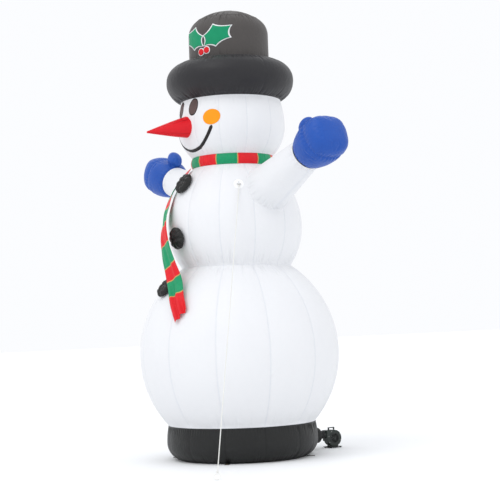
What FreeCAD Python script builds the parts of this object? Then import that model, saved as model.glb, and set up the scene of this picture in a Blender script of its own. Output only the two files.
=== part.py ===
"""Giant inflatable yard snowman: fabric envelope, tether, lights and ground blower.

Millimetres, +Z up. The origin is the middle of the round floor, on the ground. The snowman
faces -Y, its left arm points to +X and the blower stands behind it, at +Y.
"""
import FreeCAD, Part
import math
import os
import Sketcher

V = FreeCAD.Vector
doc = FreeCAD.newDocument("YardSnowman")
sheet = doc.addObject("Spreadsheet::Sheet", "Sizes")

SIZES = (
    # fabric and clearances
    ("skin", 3.0, "modelled thickness of the envelope fabric"),
    ("patch", 2.0, "thickness of a sewn-on patch"),
    ("gap", 0.4, "space between neighbouring curved faces"),
    # base ring
    ("floor_radius", 870, "flat round floor"),
    ("base_radius", 1027, "widest part of the base"),
    ("base_belly_height", 230, "height of the widest part of the base"),
    ("base_seam_radius", 1000, "seam between base and lower ball"),
    ("base_height", 467, "height of that seam"),
    # three balls
    ("lower_radius", 1356, "lower ball"),
    ("lower_height", 1400, "its widest height"),
    ("waist_radius", 744, "crease between lower and middle ball"),
    ("waist_height", 2580, "height of the crease"),
    ("middle_radius", 918, "middle ball"),
    ("middle_height", 3120, "its widest height"),
    ("neck_radius", 548, "neck band"),
    ("neck_bottom", 3940, "seam between middle ball and neck"),
    ("neck_top", 4085, "seam between neck and head"),
    ("head_radius", 736, "head"),
    ("head_height", 4510, "its widest height"),
    # hat
    ("hat_radius", 685, "seam between head and brim"),
    ("hat_height", 4850, "height of that seam"),
    ("brim_radius", 880, "brim"),
    ("brim_height", 5130, "height of its widest part"),
    ("crown_radius", 551, "crown"),
    ("crown_bottom", 5385, "seam between brim and crown"),
    ("crown_shoulder", 5765, "where the crown starts to curve in"),
    ("crown_seam_radius", 420, "gathered seam round the crown's top"),
    ("crown_seam_height", 5990, "height of that seam"),
    ("total_height", 6120, "top of the hat"),
    # arms and mittens
    ("shoulder_reach", 700, "arm axis at the shoulder, from the centre line"),
    ("shoulder_height", 3550, "arm axis at the shoulder"),
    ("shoulder_back", 55, "arm axis behind the centre line"),
    ("wrist_reach", 1700, "arm axis at the cuff"),
    ("arm_rise", 21, "slope of the arm in degrees"),
    ("arm_root_radius", 332, "arm at the shoulder"),
    ("wrist_radius", 222, "arm at the cuff"),
    ("arm_tuck", 260, "length of the arm cone inside the shoulder, cut away"),
    ("mitten_radius", 305, "mitten"),
    ("mitten_belly", 290, "cuff to the mitten's widest part"),
    ("mitten_length", 620, "cuff to the finger end"),
    ("thumb_radius", 100, "thumb"),
    ("thumb_length", 150, "half length of the thumb"),
    ("thumb_along", 150, "cuff to the thumb"),
    ("thumb_out", 270, "arm axis to the middle of the thumb"),
    # face
    ("nose_height", 4470, "middle of the nose's root"),
    ("nose_radius", 160, "nose at its root circle"),
    ("nose_tip_radius", 14, "blunt nose tip"),
    ("nose_start", 640, "centre line to the nose's root circle"),
    ("nose_length", 690, "root circle to tip"),
    ("nose_droop", 9, "nose slope in degrees"),
    ("eye_width", 170, "eye"),
    ("eye_tall", 235, "eye"),
    ("eye_height", 4728, "middle of the eyes"),
    ("eye_turn", 13, "eye direction from straight ahead, degrees"),
    ("cheek_width", 248, "cheek"),
    ("cheek_tall", 206, "cheek"),
    ("cheek_height", 4560, "middle of the cheeks"),
    ("cheek_turn", 37, "cheek direction in degrees"),
    ("smile_half_width", 440, "centre line to an end of the smile"),
    ("smile_top", 4450, "ends of the smile"),
    ("smile_bottom", 4160, "lowest point of the smile"),
    ("smile_thick", 36, "width of the smile's line"),
    # scarf
    ("collar_bulge", 22, "how far the collar stands out at its middle"),
    ("scarf_width", 280, "hanging scarf tail"),
    ("scarf_thick", 9, "hanging scarf tail"),
    # buttons
    ("button_radius", 150, "padded button"),
    ("button_tall", 110, "padded button, out from the ball"),
    ("button_edge", 36, "height of the button's widest line"),
    ("top_button_height", 3690, "middle of the top button"),
    ("middle_button_height", 2975, "middle of the second button"),
    ("bottom_button_height", 2300, "middle of the third button"),
    # holly badge on the hat
    ("holly_height", 5680, "middle of the leaves"),
    ("holly_turn", 20, "holly direction in degrees"),
    ("leaf_length", 365, "leaf from stalk to tip, along the crown"),
    ("leaf_half_width", 150, "leaf"),
    ("leaf_space", 14, "half the gap between the leaves"),
    ("leaf_border", 20, "white border round a leaf"),
    ("berry_radius", 42, "berry"),
    # tether points
    ("tether_height", 3640, "tether patches"),
    ("tether_turn", 63, "direction of the side tethers in degrees"),
    ("tether_patch_radius", 66, "round reinforcing patch"),
    ("ring_radius", 25, "D-ring, middle of its bow"),
    ("ring_wire", 4, "radius of the D-ring's wire"),
    ("ring_lift", 9, "patch to the D-ring's bar"),
    ("tab_width", 20, "webbing tab that holds a D-ring"),
    ("rope_radius", 6, "tether rope"),
    ("rope_end_reach", 2600, "centre line to the rope's ground end"),
    ("rope_end_turn", 51, "direction of that end in degrees"),
    ("loop_radius", 38, "loop tied in the rope's ground end"),
    ("knot_radius", 15, "knots"),
    # ground anchors
    ("anchor_width", 60, "webbing anchor tab"),
    ("anchor_reach", 985, "outer end of an anchor tab"),
    ("anchor_hole_reach", 950, "centre line to the grommet"),
    ("grommet_bore", 8, "radius of the grommet's hole"),
    ("grommet_rim", 17, "radius of the grommet's rim"),
    ("grommet_lip", 1.2, "thickness of the grommet's lips"),
    # blower and its sleeve, placed from the middle of the fan
    ("fan_reach", 1505, "centre line to the fan's axis"),
    ("fan_height", 135, "ground to the fan's axis"),
    ("scroll_radius", 115, "fan housing"),
    ("scroll_half_width", 56, "half the width of the fan housing"),
    ("housing_wall", 3, "wall of the fan housing"),
    ("duct_reach", 135, "fan's axis to the mouth of the outlet duct"),
    ("outlet_radius", 48, "outer radius of the round outlet"),
    ("outlet_length", 75, "length of the round outlet"),
    ("outlet_wall", 3, "wall of the round outlet"),
    ("intake_radius", 71, "air intake hole"),
    ("sleeve_radius", 118, "inflation sleeve"),
    ("sleeve_clamp", 50, "length of sleeve gathered on the outlet"),
    ("sleeve_taper", 45, "length of the gathered cone"),
    ("strap_thick", 4, "strap round the sleeve"),
    ("strap_width", 30, "strap round the sleeve"),
    ("shaft_radius", 4, "motor shaft"),
    ("motor_radius", 36, "motor"),
    ("motor_length", 70, "motor"),
    ("impeller_radius", 88, "fan wheel"),
    ("impeller_width", 62, "fan wheel"),
    ("stand_thick", 5, "blower stand"),
    ("stand_height", 12, "ground to the underside of the stand"),
    # deflation zip at the back of the base
    ("zip_turn", 215, "direction of the zip's middle in degrees"),
    ("zip_half_length", 290, "half the zip tape"),
    ("zip_width", 36, "zip tape"),
    ("zip_travel", 28, "slider travel round the base in degrees"),
    # inside lights
    ("strap_half_width", 20, "light strap"),
    ("bulb_radius", 32, "lamp"),
)
for row, (alias, value, meaning) in enumerate(SIZES, start=1):
    sheet.set(f"A{row}", alias)
    sheet.set(f"B{row}", str(value))
    sheet.set(f"C{row}", meaning)
    sheet.setAlias(f"B{row}", alias)
doc.recompute()


class Size:
    """A length that carries its number and its spreadsheet expression together."""

    def __init__(self, value, text):
        self.value = value
        self.text = text

    @staticmethod
    def lift(other):
        return other if isinstance(other, Size) else Size(float(other), repr(float(other)))

    def join(self, other, sign, value):
        return Size(value, f"({self.text} {sign} {Size.lift(other).text})")

    def __add__(self, other):
        return self.join(other, "+", self.value + Size.lift(other).value)

    def __sub__(self, other):
        return self.join(other, "-", self.value - Size.lift(other).value)

    def __mul__(self, other):
        return self.join(other, "*", self.value * Size.lift(other).value)

    def __truediv__(self, other):
        return self.join(other, "/", self.value / Size.lift(other).value)

    def __neg__(self):
        return Size(-self.value, f"(0 - {self.text})")


class Sheet:
    """Attribute access to the spreadsheet: cell.skin is the Size of the cell named skin."""

    def __getattr__(self, alias):
        return Size(float(sheet.get(alias)), f"Sizes.{alias}")


def fixed(value):
    """Size of a standard part that no cell of the sheet changes."""
    return Size(float(value), repr(float(value)))


cell = Sheet()
ZERO = Size(0.0, "0")
nodes = []


def node(name, obj):
    """Give a finished sub-part its name and list it for export."""
    obj.Label = name
    nodes.append(obj)
    return obj


def bind(obj, **sizes):
    """Set properties from Sizes, each with its expression."""
    for prop, size in sizes.items():
        obj.setExpression(prop, size.text)
    return obj


def move(obj, x=ZERO, y=ZERO, z=ZERO, turn=None):
    """Place an object, with its position bound to the sheet."""
    rotation = turn or FreeCAD.Rotation()
    obj.Placement = FreeCAD.Placement(V(x.value, y.value, z.value), rotation)
    for axis, size in (("x", x), ("y", y), ("z", z)):
        if size is not ZERO:
            obj.setExpression(f".Placement.Base.{axis}", size.text)
    return obj


def about_z(degrees):
    return FreeCAD.Rotation(V(0, 0, 1), degrees)


def facing(degrees, tilt=0.0):
    """Rotation whose local Z points outward at this direction, tilted up, with local X level."""
    return about_z(degrees) * FreeCAD.Rotation(V(1, 0, 0), 90 - tilt)


# ---------------------------------------------------------------- sketches and features


def sketch_on(body, role, name):
    plane = next(f for f in body.Origin.OriginFeatures if f.Role == role)
    sketch = body.newObject("Sketcher::SketchObject", name)
    sketch.AttachmentSupport = (plane, [""])
    sketch.MapMode = "FlatFace"
    return sketch


def pin_point(sketch, geo, pos, x=None, y=None):
    """Fix one point of the sketch at x, y from the origin, each bound to the sheet."""
    for kind, size, axis in (("DistanceX", x, -2), ("DistanceY", y, -1)):
        if size is None:
            continue
        if size is ZERO:
            sketch.addConstraint(Sketcher.Constraint("PointOnObject", geo, pos, axis))
            continue
        index = sketch.addConstraint(Sketcher.Constraint(kind, -1, 1, geo, pos, size.value))
        sketch.setExpression(f"Constraints[{index}]", size.text)


def arc_between(start, end, centre_x, centre_y):
    """Short arc from start to end whose centre has one given coordinate."""
    dx, dy = end[0] - start[0], end[1] - start[1]
    if centre_x is None:
        k = (end[0] ** 2 - start[0] ** 2 + (end[1] - centre_y) ** 2 - (start[1] - centre_y) ** 2)
        centre = (k / (2 * dx), centre_y)
    else:
        k = (end[1] ** 2 - start[1] ** 2 + (end[0] - centre_x) ** 2 - (start[0] - centre_x) ** 2)
        centre = (centre_x, k / (2 * dy))
    radius = math.dist(centre, start)
    a = math.atan2(start[1] - centre[1], start[0] - centre[0])
    b = math.atan2(end[1] - centre[1], end[0] - centre[0])
    forward = math.remainder(b - a, 2 * math.pi) > 0
    low, high = (a, b) if forward else (b, a)
    circle = Part.Circle(V(centre[0], centre[1], 0), V(0, 0, 1), radius)
    return Part.ArcOfCircle(circle, low, high), forward


def draw(sketch, outline):
    """Closed outline. Each entry is (x, y, bend): bend is None for a line to the next point,
    ("y", size) or ("x", size) for an arc to it whose centre has that coordinate."""
    ends = []
    for i, (x, y, bend) in enumerate(outline):
        nx, ny, _ = outline[(i + 1) % len(outline)]
        start, end = (x.value, y.value), (nx.value, ny.value)
        if bend is None:
            geo = sketch.addGeometry(Part.LineSegment(V(*start, 0), V(*end, 0)), False)
            first, last = 1, 2
        else:
            cx = bend[1].value if bend[0] == "x" else None
            cy = bend[1].value if bend[0] == "y" else None
            arc, forward = arc_between(start, end, cx, cy)
            geo = sketch.addGeometry(arc, False)
            first, last = (1, 2) if forward else (2, 1)
        ends.append((geo, first, last))
    for i, (x, y, bend) in enumerate(outline):
        geo, first, last = ends[i]
        following, next_first, _ = ends[(i + 1) % len(outline)]
        sketch.addConstraint(Sketcher.Constraint("Coincident", geo, last, following, next_first))
        pin_point(sketch, geo, first, x, y)
        if bend is not None:
            pin_point(sketch, geo, 3, **{bend[0]: bend[1]})


def turned(outline, name="Turned"):
    """PartDesign body: an outline of (radius, height) points turned about Z."""
    body = doc.addObject("PartDesign::Body", name)
    sketch = sketch_on(body, "XZ_Plane", "Outline")
    draw(sketch, outline)
    feature = body.newObject("PartDesign::Revolution", "Turn")
    feature.Profile = sketch
    feature.ReferenceAxis = (sketch, ["V_Axis"])
    feature.Angle = 360
    return body


def barrel(seams, outside, inside):
    """Turned band through bottom, belly and top seams, each (radius, height), with its outer
    face `outside` beyond the seam line and its inner face `inside` within it."""
    (r0, z0), (r1, z1), (r2, z2) = seams
    arc = ("y", z1)
    return turned([
        (r0 + outside, z0, arc),
        (r1 + outside, z1, arc),
        (r2 + outside, z2, None),
        (r2 - inside, z2, arc),
        (r1 - inside, z1, arc),
        (r0 - inside, z0, None),
    ])


def core(seams, outside):
    """Solid filled to the same seams, used to cut what meets the ball."""
    (r0, z0), (r1, z1), (r2, z2) = seams
    arc = ("y", z1)
    return turned([
        (ZERO, z0, None),
        (r0 + outside, z0, arc),
        (r1 + outside, z1, arc),
        (r2 + outside, z2, None),
        (ZERO, z2, None),
    ], "Core")


def seam_radius(seams, height):
    """Radius of a ball at a height, and the upward tilt of its surface there in degrees."""
    (r0, z0), (r1, z1), (r2, z2) = [(r.value, z.value) for r, z in seams]
    r_end, z_end = (r2, z2) if height >= z1 else (r0, z0)
    centre = (r_end ** 2 + (z_end - z1) ** 2 - r1 ** 2) / (2 * (r_end - r1))
    radius = r1 - centre
    return (centre + math.sqrt(radius ** 2 - (height - z1) ** 2),
            math.degrees(math.asin((height - z1) / radius)))


def boolean(kind, base, tool):
    result = doc.addObject(f"Part::{kind}", kind)
    result.Base = base
    result.Tool = tool
    return result


def cut(base, *tools):
    for tool in tools:
        base = boolean("Cut", base, tool)
    return base


def group(*shapes):
    fused = doc.addObject("Part::MultiFuse", "Group")
    fused.Shapes = list(shapes)
    return fused


def box(length, width, height):
    """Part box bound to the sheet."""
    return bind(doc.addObject("Part::Box", "Box"), Length=length, Width=width, Height=height)


def centred_box(length, width, height, x=ZERO, y=ZERO, z=ZERO):
    """Box whose middle is at x, y and whose underside is at z."""
    return move(box(length, width, height), x - length / 2, y - width / 2, z)


def cylinder(radius, height):
    return bind(doc.addObject("Part::Cylinder", "Cylinder"), Radius=radius, Height=height)


def cone(bottom, top, height):
    return bind(doc.addObject("Part::Cone", "Cone"), Radius1=bottom, Radius2=top, Height=height)


def made(shape):
    """Object holding a shape made in code, where no feature fits."""
    feature = doc.addObject("Part::Feature", "Made")
    feature.Shape = shape
    return feature


# ---------------------------------------------------------------- the envelope

BASE = ((cell.floor_radius, ZERO),
        (cell.base_radius, cell.base_belly_height),
        (cell.base_seam_radius, cell.base_height))
LOWER = ((cell.base_seam_radius, cell.base_height),
         (cell.lower_radius, cell.lower_height),
         (cell.waist_radius, cell.waist_height))
MIDDLE = ((cell.waist_radius, cell.waist_height),
          (cell.middle_radius, cell.middle_height),
          (cell.neck_radius, cell.neck_bottom))
HEAD = ((cell.neck_radius, cell.neck_top),
        (cell.head_radius, cell.head_height),
        (cell.hat_radius, cell.hat_height))
COLLAR = ((cell.neck_radius, cell.neck_bottom + cell.gap),
          (cell.neck_radius + cell.collar_bulge, (cell.neck_bottom + cell.neck_top) / 2),
          (cell.neck_radius, cell.neck_top - cell.gap))

# floor disc, inside the foot of the base wall
floor_disc = cylinder(cell.floor_radius - cell.skin, cell.skin)
node("base_floor", floor_disc)

# base wall, with the hole that the blower's air comes in by
sleeve_height = cell.fan_height + cell.scroll_radius / 2
air_hole = move(cylinder(cell.sleeve_radius - cell.skin, cell.skin * 60), ZERO,
                cell.base_radius + cell.skin * 20, sleeve_height,
                FreeCAD.Rotation(V(1, 0, 0), 90))
node("base_wall", cut(barrel(BASE, ZERO, cell.skin), air_hole))
node("lower_body", barrel(LOWER, ZERO, cell.skin))


def arm_place(obj, side, along, out=0.0, spin=None):
    """Place an object on the arm's axis: local Z runs out along the arm, local X is up."""
    rise = cell.arm_rise.value
    to_side = about_z(0 if side > 0 else 180)
    turn = to_side * FreeCAD.Rotation(V(0, 1, 0), 90 - rise) * about_z(180)
    shoulder = V(cell.shoulder_reach.value, 0, 0)
    direction = V(math.cos(math.radians(rise)), 0, math.sin(math.radians(rise)))
    up = V(-direction.z, 0, direction.x)
    point = to_side.multVec(shoulder + direction * along + up * out)
    point += V(0, cell.shoulder_back.value, cell.shoulder_height.value)
    obj.Placement = FreeCAD.Placement(point, turn * (spin or FreeCAD.Rotation()))
    return obj


arm_length = ((cell.wrist_reach.value - cell.shoulder_reach.value)
              / math.cos(math.radians(cell.arm_rise.value)))
arm_slope = (cell.arm_root_radius.value - cell.wrist_radius.value) / arm_length
tuck = cell.arm_tuck.value
middle_core = core(MIDDLE, cell.gap)
air_ways = []


def arm(side):
    """Tapered sleeve from the shoulder to the cuff, shaped to the middle ball."""
    length = Size(arm_length + tuck, repr(arm_length + tuck))
    root = cell.arm_root_radius + arm_slope * tuck
    outer = arm_place(cone(root, cell.wrist_radius, length), side, -tuck)
    inner = arm_place(cone(root - cell.skin, cell.wrist_radius - cell.skin, length), side, -tuck)
    air_ways.append(inner)
    return cut(outer, inner, middle_core)


def hand_curve(wall):
    """Points from the cuff round to the finger end, `wall` inside the mitten's outer face."""
    return [
        (cell.wrist_radius - wall, ZERO, ("y", cell.mitten_belly)),
        (cell.mitten_radius - wall, cell.mitten_belly, ("x", ZERO)),
        (ZERO, cell.mitten_length - wall, None),
    ]


def mitten(side):
    """Fist-shaped mitten with a thumb on top, open to the arm at its cuff."""
    (cuff, _, cuff_arc), (widest, height, dome), (_, tip, _) = hand_curve(cell.skin)
    shell = turned(hand_curve(ZERO) + [
        (ZERO, tip, dome), (widest, height, cuff_arc), (cuff, ZERO, None)], "Hand")
    inside = turned([(ZERO, ZERO, None)] + hand_curve(cell.skin), "HandInside")
    arm_place(shell, side, arm_length)
    arm_place(inside, side, arm_length)
    thumbs = []
    for wall in (ZERO, cell.skin):
        thumb = doc.addObject("Part::Ellipsoid", "Thumb")
        bind(thumb, Radius1=cell.thumb_radius - wall, Radius2=cell.thumb_length - wall,
             Radius3=cell.thumb_radius - wall)
        lean = FreeCAD.Rotation(V(0, 1, 0), 70)
        arm_place(thumb, side, arm_length + cell.thumb_along.value, cell.thumb_out.value, lean)
        thumbs.append(thumb)
    return boolean("Fuse", cut(shell, thumbs[1]), cut(thumbs[0], thumbs[1], inside))


for side, name in ((1, "left"), (-1, "right")):
    node(f"{name}_arm", arm(side))
    node(f"{name}_mitten", mitten(side))

node("middle_body", cut(barrel(MIDDLE, ZERO, cell.skin), *air_ways))
node("neck_band", turned([
    (cell.neck_radius, cell.neck_bottom, None),
    (cell.neck_radius, cell.neck_top, None),
    (cell.neck_radius - cell.skin, cell.neck_top, None),
    (cell.neck_radius - cell.skin, cell.neck_bottom, None),
]))
node("head", barrel(HEAD, ZERO, cell.skin))

# the brim's skin ends upright at the crown, because its top is nearly level there
brim_arc = ("y", cell.brim_height)
node("hat_brim", turned([
    (cell.hat_radius, cell.hat_height, brim_arc),
    (cell.brim_radius, cell.brim_height, brim_arc),
    (cell.crown_radius, cell.crown_bottom, None),
    (cell.crown_radius, cell.crown_bottom - cell.skin, brim_arc),
    (cell.brim_radius - cell.skin, cell.brim_height, brim_arc),
    (cell.hat_radius - cell.skin, cell.hat_height, None),
]))

crown_arc = ("y", cell.crown_shoulder)
node("hat_crown", turned([
    (cell.crown_radius, cell.crown_bottom, None),
    (cell.crown_radius, cell.crown_shoulder, crown_arc),
    (cell.crown_seam_radius, cell.crown_seam_height, None),
    (cell.crown_seam_radius - cell.skin, cell.crown_seam_height, crown_arc),
    (cell.crown_radius - cell.skin, cell.crown_shoulder, None),
    (cell.crown_radius - cell.skin, cell.crown_bottom, None),
]))
node("hat_top", turned([
    (cell.crown_seam_radius, cell.crown_seam_height, ("x", ZERO)),
    (ZERO, cell.total_height, None),
    (ZERO, cell.total_height - cell.skin, ("x", ZERO)),
    (cell.crown_seam_radius - cell.skin, cell.crown_seam_height, None),
]))

# ---------------------------------------------------------------- face

head_cover = barrel(HEAD, cell.gap + cell.patch, -cell.gap)
PATCH_REACH = cell.lower_radius


def prism(wire, direction, height, spin=0.0):
    """Solid pushed outward from the centre line through a flat wire object."""
    move(wire, z=height, turn=facing(direction) * about_z(spin))
    solid = doc.addObject("Part::Extrusion", "Prism")
    solid.Base = wire
    solid.DirMode = "Custom"
    solid.Dir = facing(direction).multVec(V(0, 0, 1))
    solid.Solid = True
    return bind(solid, LengthFwd=PATCH_REACH)


def oval_patch(width, tall, direction, height, lean):
    """Oval of the head's cover. lean tips its top, in degrees."""
    oval = bind(doc.addObject("Part::Ellipse", "Oval"),
                MajorRadius=(tall if tall.value > width.value else width) / 2,
                MinorRadius=(width if tall.value > width.value else tall) / 2)
    spin = (90 if tall.value > width.value else 0) + lean
    return boolean("Common", head_cover, prism(oval, direction, height, spin))


for side, name in ((1, "left"), (-1, "right")):
    node(f"{name}_eye", oval_patch(cell.eye_width, cell.eye_tall,
                                   side * cell.eye_turn.value, cell.eye_height, -side * 8))
    node(f"{name}_cheek", oval_patch(cell.cheek_width, cell.cheek_tall,
                                     side * cell.cheek_turn.value, cell.cheek_height, side * 8))

# smile: a band between two arcs, cut from the head's cover
smile_body = doc.addObject("PartDesign::Body", "Smile")
smile_sketch = sketch_on(smile_body, "XZ_Plane", "Outline")
smile_middle = ZERO - cell.smile_half_width
draw(smile_sketch, [
    (smile_middle, cell.smile_top, ("x", ZERO)),
    (ZERO, cell.smile_bottom, ("x", ZERO)),
    (cell.smile_half_width, cell.smile_top, None),
    (cell.smile_half_width - cell.smile_thick, cell.smile_top, ("x", ZERO)),
    (ZERO, cell.smile_bottom + cell.smile_thick, ("x", ZERO)),
    (smile_middle + cell.smile_thick, cell.smile_top, None),
])
smile_pad = smile_body.newObject("PartDesign::Pad", "Reach")
smile_pad.Profile = smile_sketch
bind(smile_pad, Length=PATCH_REACH)
node("mouth", boolean("Common", head_cover, smile_body))

# carrot nose: a hollow cone shaped to the head
nose_turn = FreeCAD.Rotation(V(1, 0, 0), 90 + cell.nose_droop.value)
nose_outer = cone(cell.nose_radius, cell.nose_tip_radius, cell.nose_length)
nose_inner = cone(cell.nose_radius - cell.skin, cell.nose_tip_radius - cell.skin,
                  cell.nose_length - cell.skin)
nose_rise = cell.nose_height + 16
for shape in (nose_outer, nose_inner):
    move(shape, ZERO, -cell.nose_start, nose_rise, nose_turn)
node("nose", cut(nose_outer, nose_inner, core(HEAD, cell.gap)))

# ---------------------------------------------------------------- scarf and buttons

node("scarf_collar", barrel(COLLAR, cell.gap + cell.skin, -cell.gap))

# hanging tail: stations of (direction, stand-off from the centre line, height, upward tilt)
TAIL = ((-14, 616, 3902, 46), (-22, 710, 3800, 38), (-26, 850, 3590, 26), (-19, 944, 3350, 12),
        (-9, 1048, 3100, 0), (-3, 1070, 2840, 0), (4, 1078, 2590, 4), (11, 1102, 2350, 30),
        (18, 1219, 2120, 30), (24, 1317, 1905, 22))


def tail_station(index):
    """Rectangle across the scarf tail, square to its run and lying along the snowman."""
    points = [V(r * math.sin(math.radians(a)), -r * math.cos(math.radians(a)), z)
              for a, r, z, _ in TAIL]
    before = points[max(index - 1, 0)]
    after = points[min(index + 1, len(points) - 1)]
    along = (after - before).normalize()
    direction, _, _, tilt = TAIL[index]
    outward = facing(direction, tilt).multVec(V(0, 0, 1))
    across = outward.cross(along).normalize()
    normal = along.cross(across).normalize()
    half, thick = cell.scarf_width.value / 2, cell.scarf_thick.value / 2
    corners = [points[index] + across * (half * a) + normal * (thick * b)
               for a, b in ((-1, -1), (1, -1), (1, 1), (-1, 1))]
    return Part.makePolygon(corners + corners[:1])


tail = Part.makeLoft([tail_station(i) for i in range(len(TAIL))], True, True)
node("scarf_tail", made(tail))


def button(seams, height, direction):
    """Padded button sewn flat to the ball at its middle."""
    inner_edge = cell.button_radius - 22
    body = turned([
        (ZERO, ZERO, None),
        (inner_edge, ZERO, ("y", cell.button_edge)),
        (cell.button_radius, cell.button_edge, ("y", cell.button_edge)),
        (cell.button_radius * 0.66, cell.button_tall * 0.86, ("x", ZERO)),
        (ZERO, cell.button_tall, None),
    ], "Button")
    radius, tilt = seam_radius(seams, height.value)
    lift = radius + cell.gap.value / math.cos(math.radians(tilt))
    turn = math.radians(direction)
    body.Placement = FreeCAD.Placement(
        V(lift * math.sin(turn), -lift * math.cos(turn), height.value), facing(direction, tilt))
    return body


node("button_top", button(MIDDLE, cell.top_button_height, 0))
node("button_middle", button(MIDDLE, cell.middle_button_height, 2))
node("button_bottom", button(LOWER, cell.bottom_button_height, -5))

# ---------------------------------------------------------------- holly on the hat


def crown_cover(inner, outer):
    """Straight band round the crown between two stand-offs."""
    return turned([
        (cell.crown_radius + outer, cell.crown_bottom, None),
        (cell.crown_radius + outer, cell.crown_shoulder + 100, None),
        (cell.crown_radius + inner, cell.crown_shoulder + 100, None),
        (cell.crown_radius + inner, cell.crown_bottom, None),
    ], "Cover")


# spines of a holly leaf as shares of its length and half width, from the stalk round to the gap
LEAF = ((0.0, -0.77), (0.49, -0.90), (0.97, -0.23), (1.0, 0.83), (0.39, 1.0), (0.0, 0.13))


def leaf_wire(side, border):
    """Spiny leaf beside the badge's middle, its edges arcs that are hollow between the spines."""
    reach = cell.leaf_length.value - cell.leaf_space.value
    ring = [V(side * (cell.leaf_space.value + a * reach), b * cell.leaf_half_width.value, 0)
            for a, b in LEAF]
    middle = V(side * (cell.leaf_space.value + reach / 2), 0, 0)
    ring = [p + (p - middle).normalize() * border for p in ring]
    edges = []
    for p, q in zip(ring, ring[1:] + ring[:1]):
        hollow = (p + q) * 0.5
        edges.append(Part.Arc(p, hollow + (middle - hollow) * 0.14, q).toShape())
    return made(Part.Wire(edges))


def holly_layer(inner, outer, shapes, direction, height):
    cover = crown_cover(inner, outer)
    prisms = [prism(shape, direction, height) for shape in shapes]
    tool = group(*prisms) if len(prisms) > 1 else prisms[0]
    return boolean("Common", cover, tool)


def berry_wires(radius):
    wires = []
    for x, y in ((-1.05, -1.30), (1.15, -1.20)):
        circle = Part.Circle(V(x * cell.berry_radius.value, y * cell.leaf_half_width.value, 0),
                             V(0, 0, 1), radius)
        wires.append(made(Part.Wire([circle.toShape()])))
    return wires


layer = cell.patch + cell.gap
border = cell.leaf_border.value
white_shapes = [leaf_wire(side, border) for side in (-1, 1)]
white_shapes += berry_wires(cell.berry_radius.value + border * 0.6)
holly_at = (cell.holly_turn.value, cell.holly_height)
node("holly_border", holly_layer(cell.gap, layer, white_shapes, *holly_at))
leaves = holly_layer(layer + cell.gap, layer * 2,
                     [leaf_wire(side, 0.0) for side in (-1, 1)], *holly_at)
node("holly_leaves", leaves)
node("holly_berries", holly_layer(layer * 2 + cell.gap, layer * 3 + 3,
                                  berry_wires(cell.berry_radius.value), *holly_at))

# ---------------------------------------------------------------- tether points and rope

middle_cover = barrel(MIDDLE, cell.gap + cell.patch, -cell.gap)
TETHERS = ((cell.tether_turn.value, "left"), (-cell.tether_turn.value, "right"), (180.0, "back"))
tether_radius, tether_tilt = seam_radius(MIDDLE, cell.tether_height.value)


def on_chest(obj, direction, lift, extra=None, shift=V(0, 0, 0)):
    """Place on the middle ball at the tether height: local Z outward, local Y up the slope.
    The shift is along the object's own axes."""
    turn = facing(direction, tether_tilt)
    outward = turn.multVec(V(0, 0, 1))
    angle = math.radians(direction)
    foot = V(tether_radius * math.sin(angle), -tether_radius * math.cos(angle),
             cell.tether_height.value)
    rotation = turn * (extra or FreeCAD.Rotation())
    obj.Placement = FreeCAD.Placement(foot + outward * lift + rotation.multVec(shift), rotation)
    return obj


def patch_disc(direction):
    rod = on_chest(cylinder(cell.tether_patch_radius, cell.tether_patch_radius), direction, -50)
    return boolean("Common", middle_cover, rod)


bar_lift = cell.gap.value + cell.patch.value + cell.ring_lift.value
ring_room = cell.ring_wire + 0.4


def tab(direction):
    """Webbing tab folded round the D-ring's bar and sewn to the patch."""
    bottom = cell.gap.value * 2 + cell.patch.value
    along_x = FreeCAD.Rotation(V(0, 1, 0), 90)
    half = cell.tab_width.value / 2
    fold = on_chest(cylinder(ring_room + 3, cell.tab_width), direction, bar_lift, along_x,
                    V(0, 0, -half))
    hole = on_chest(cylinder(ring_room, cell.tab_width * 2), direction, bar_lift, along_x,
                    V(0, 0, -2 * half))
    tongue = on_chest(box(cell.tab_width, cell.tab_width * 2.2, cell.skin), direction, bottom,
                      None, V(-half, 0, 0))
    return cut(group(fold, tongue), hole)


def d_ring(direction):
    """Wire D: a straight bar in the tab and a half-round bow hanging down the slope, joined by
    slightly fatter welds."""
    bow = bind(doc.addObject("Part::Torus", "Bow"), Radius1=cell.ring_radius,
               Radius2=cell.ring_wire)
    bow.Angle3 = 180
    on_chest(bow, direction, bar_lift, about_z(180))
    half = cell.ring_radius.value
    along_bar = FreeCAD.Rotation(V(0, 1, 0), 90)
    bar = on_chest(cylinder(cell.ring_wire, cell.ring_radius * 2), direction, bar_lift,
                   along_bar, V(0, 0, -half))
    corners = [on_chest(bind(doc.addObject("Part::Sphere", "Weld"), Radius=cell.ring_wire + 0.7),
                        direction, bar_lift, along_bar, V(0, 0, end)) for end in (-half, half)]
    return group(bow, bar, *corners)


node("tether_patches", group(*[patch_disc(direction) for direction, _ in TETHERS]))
node("tether_tabs", group(*[tab(direction) for direction, _ in TETHERS]))
for direction, name in TETHERS:
    node(f"tether_ring_{name}", d_ring(direction))

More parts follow.
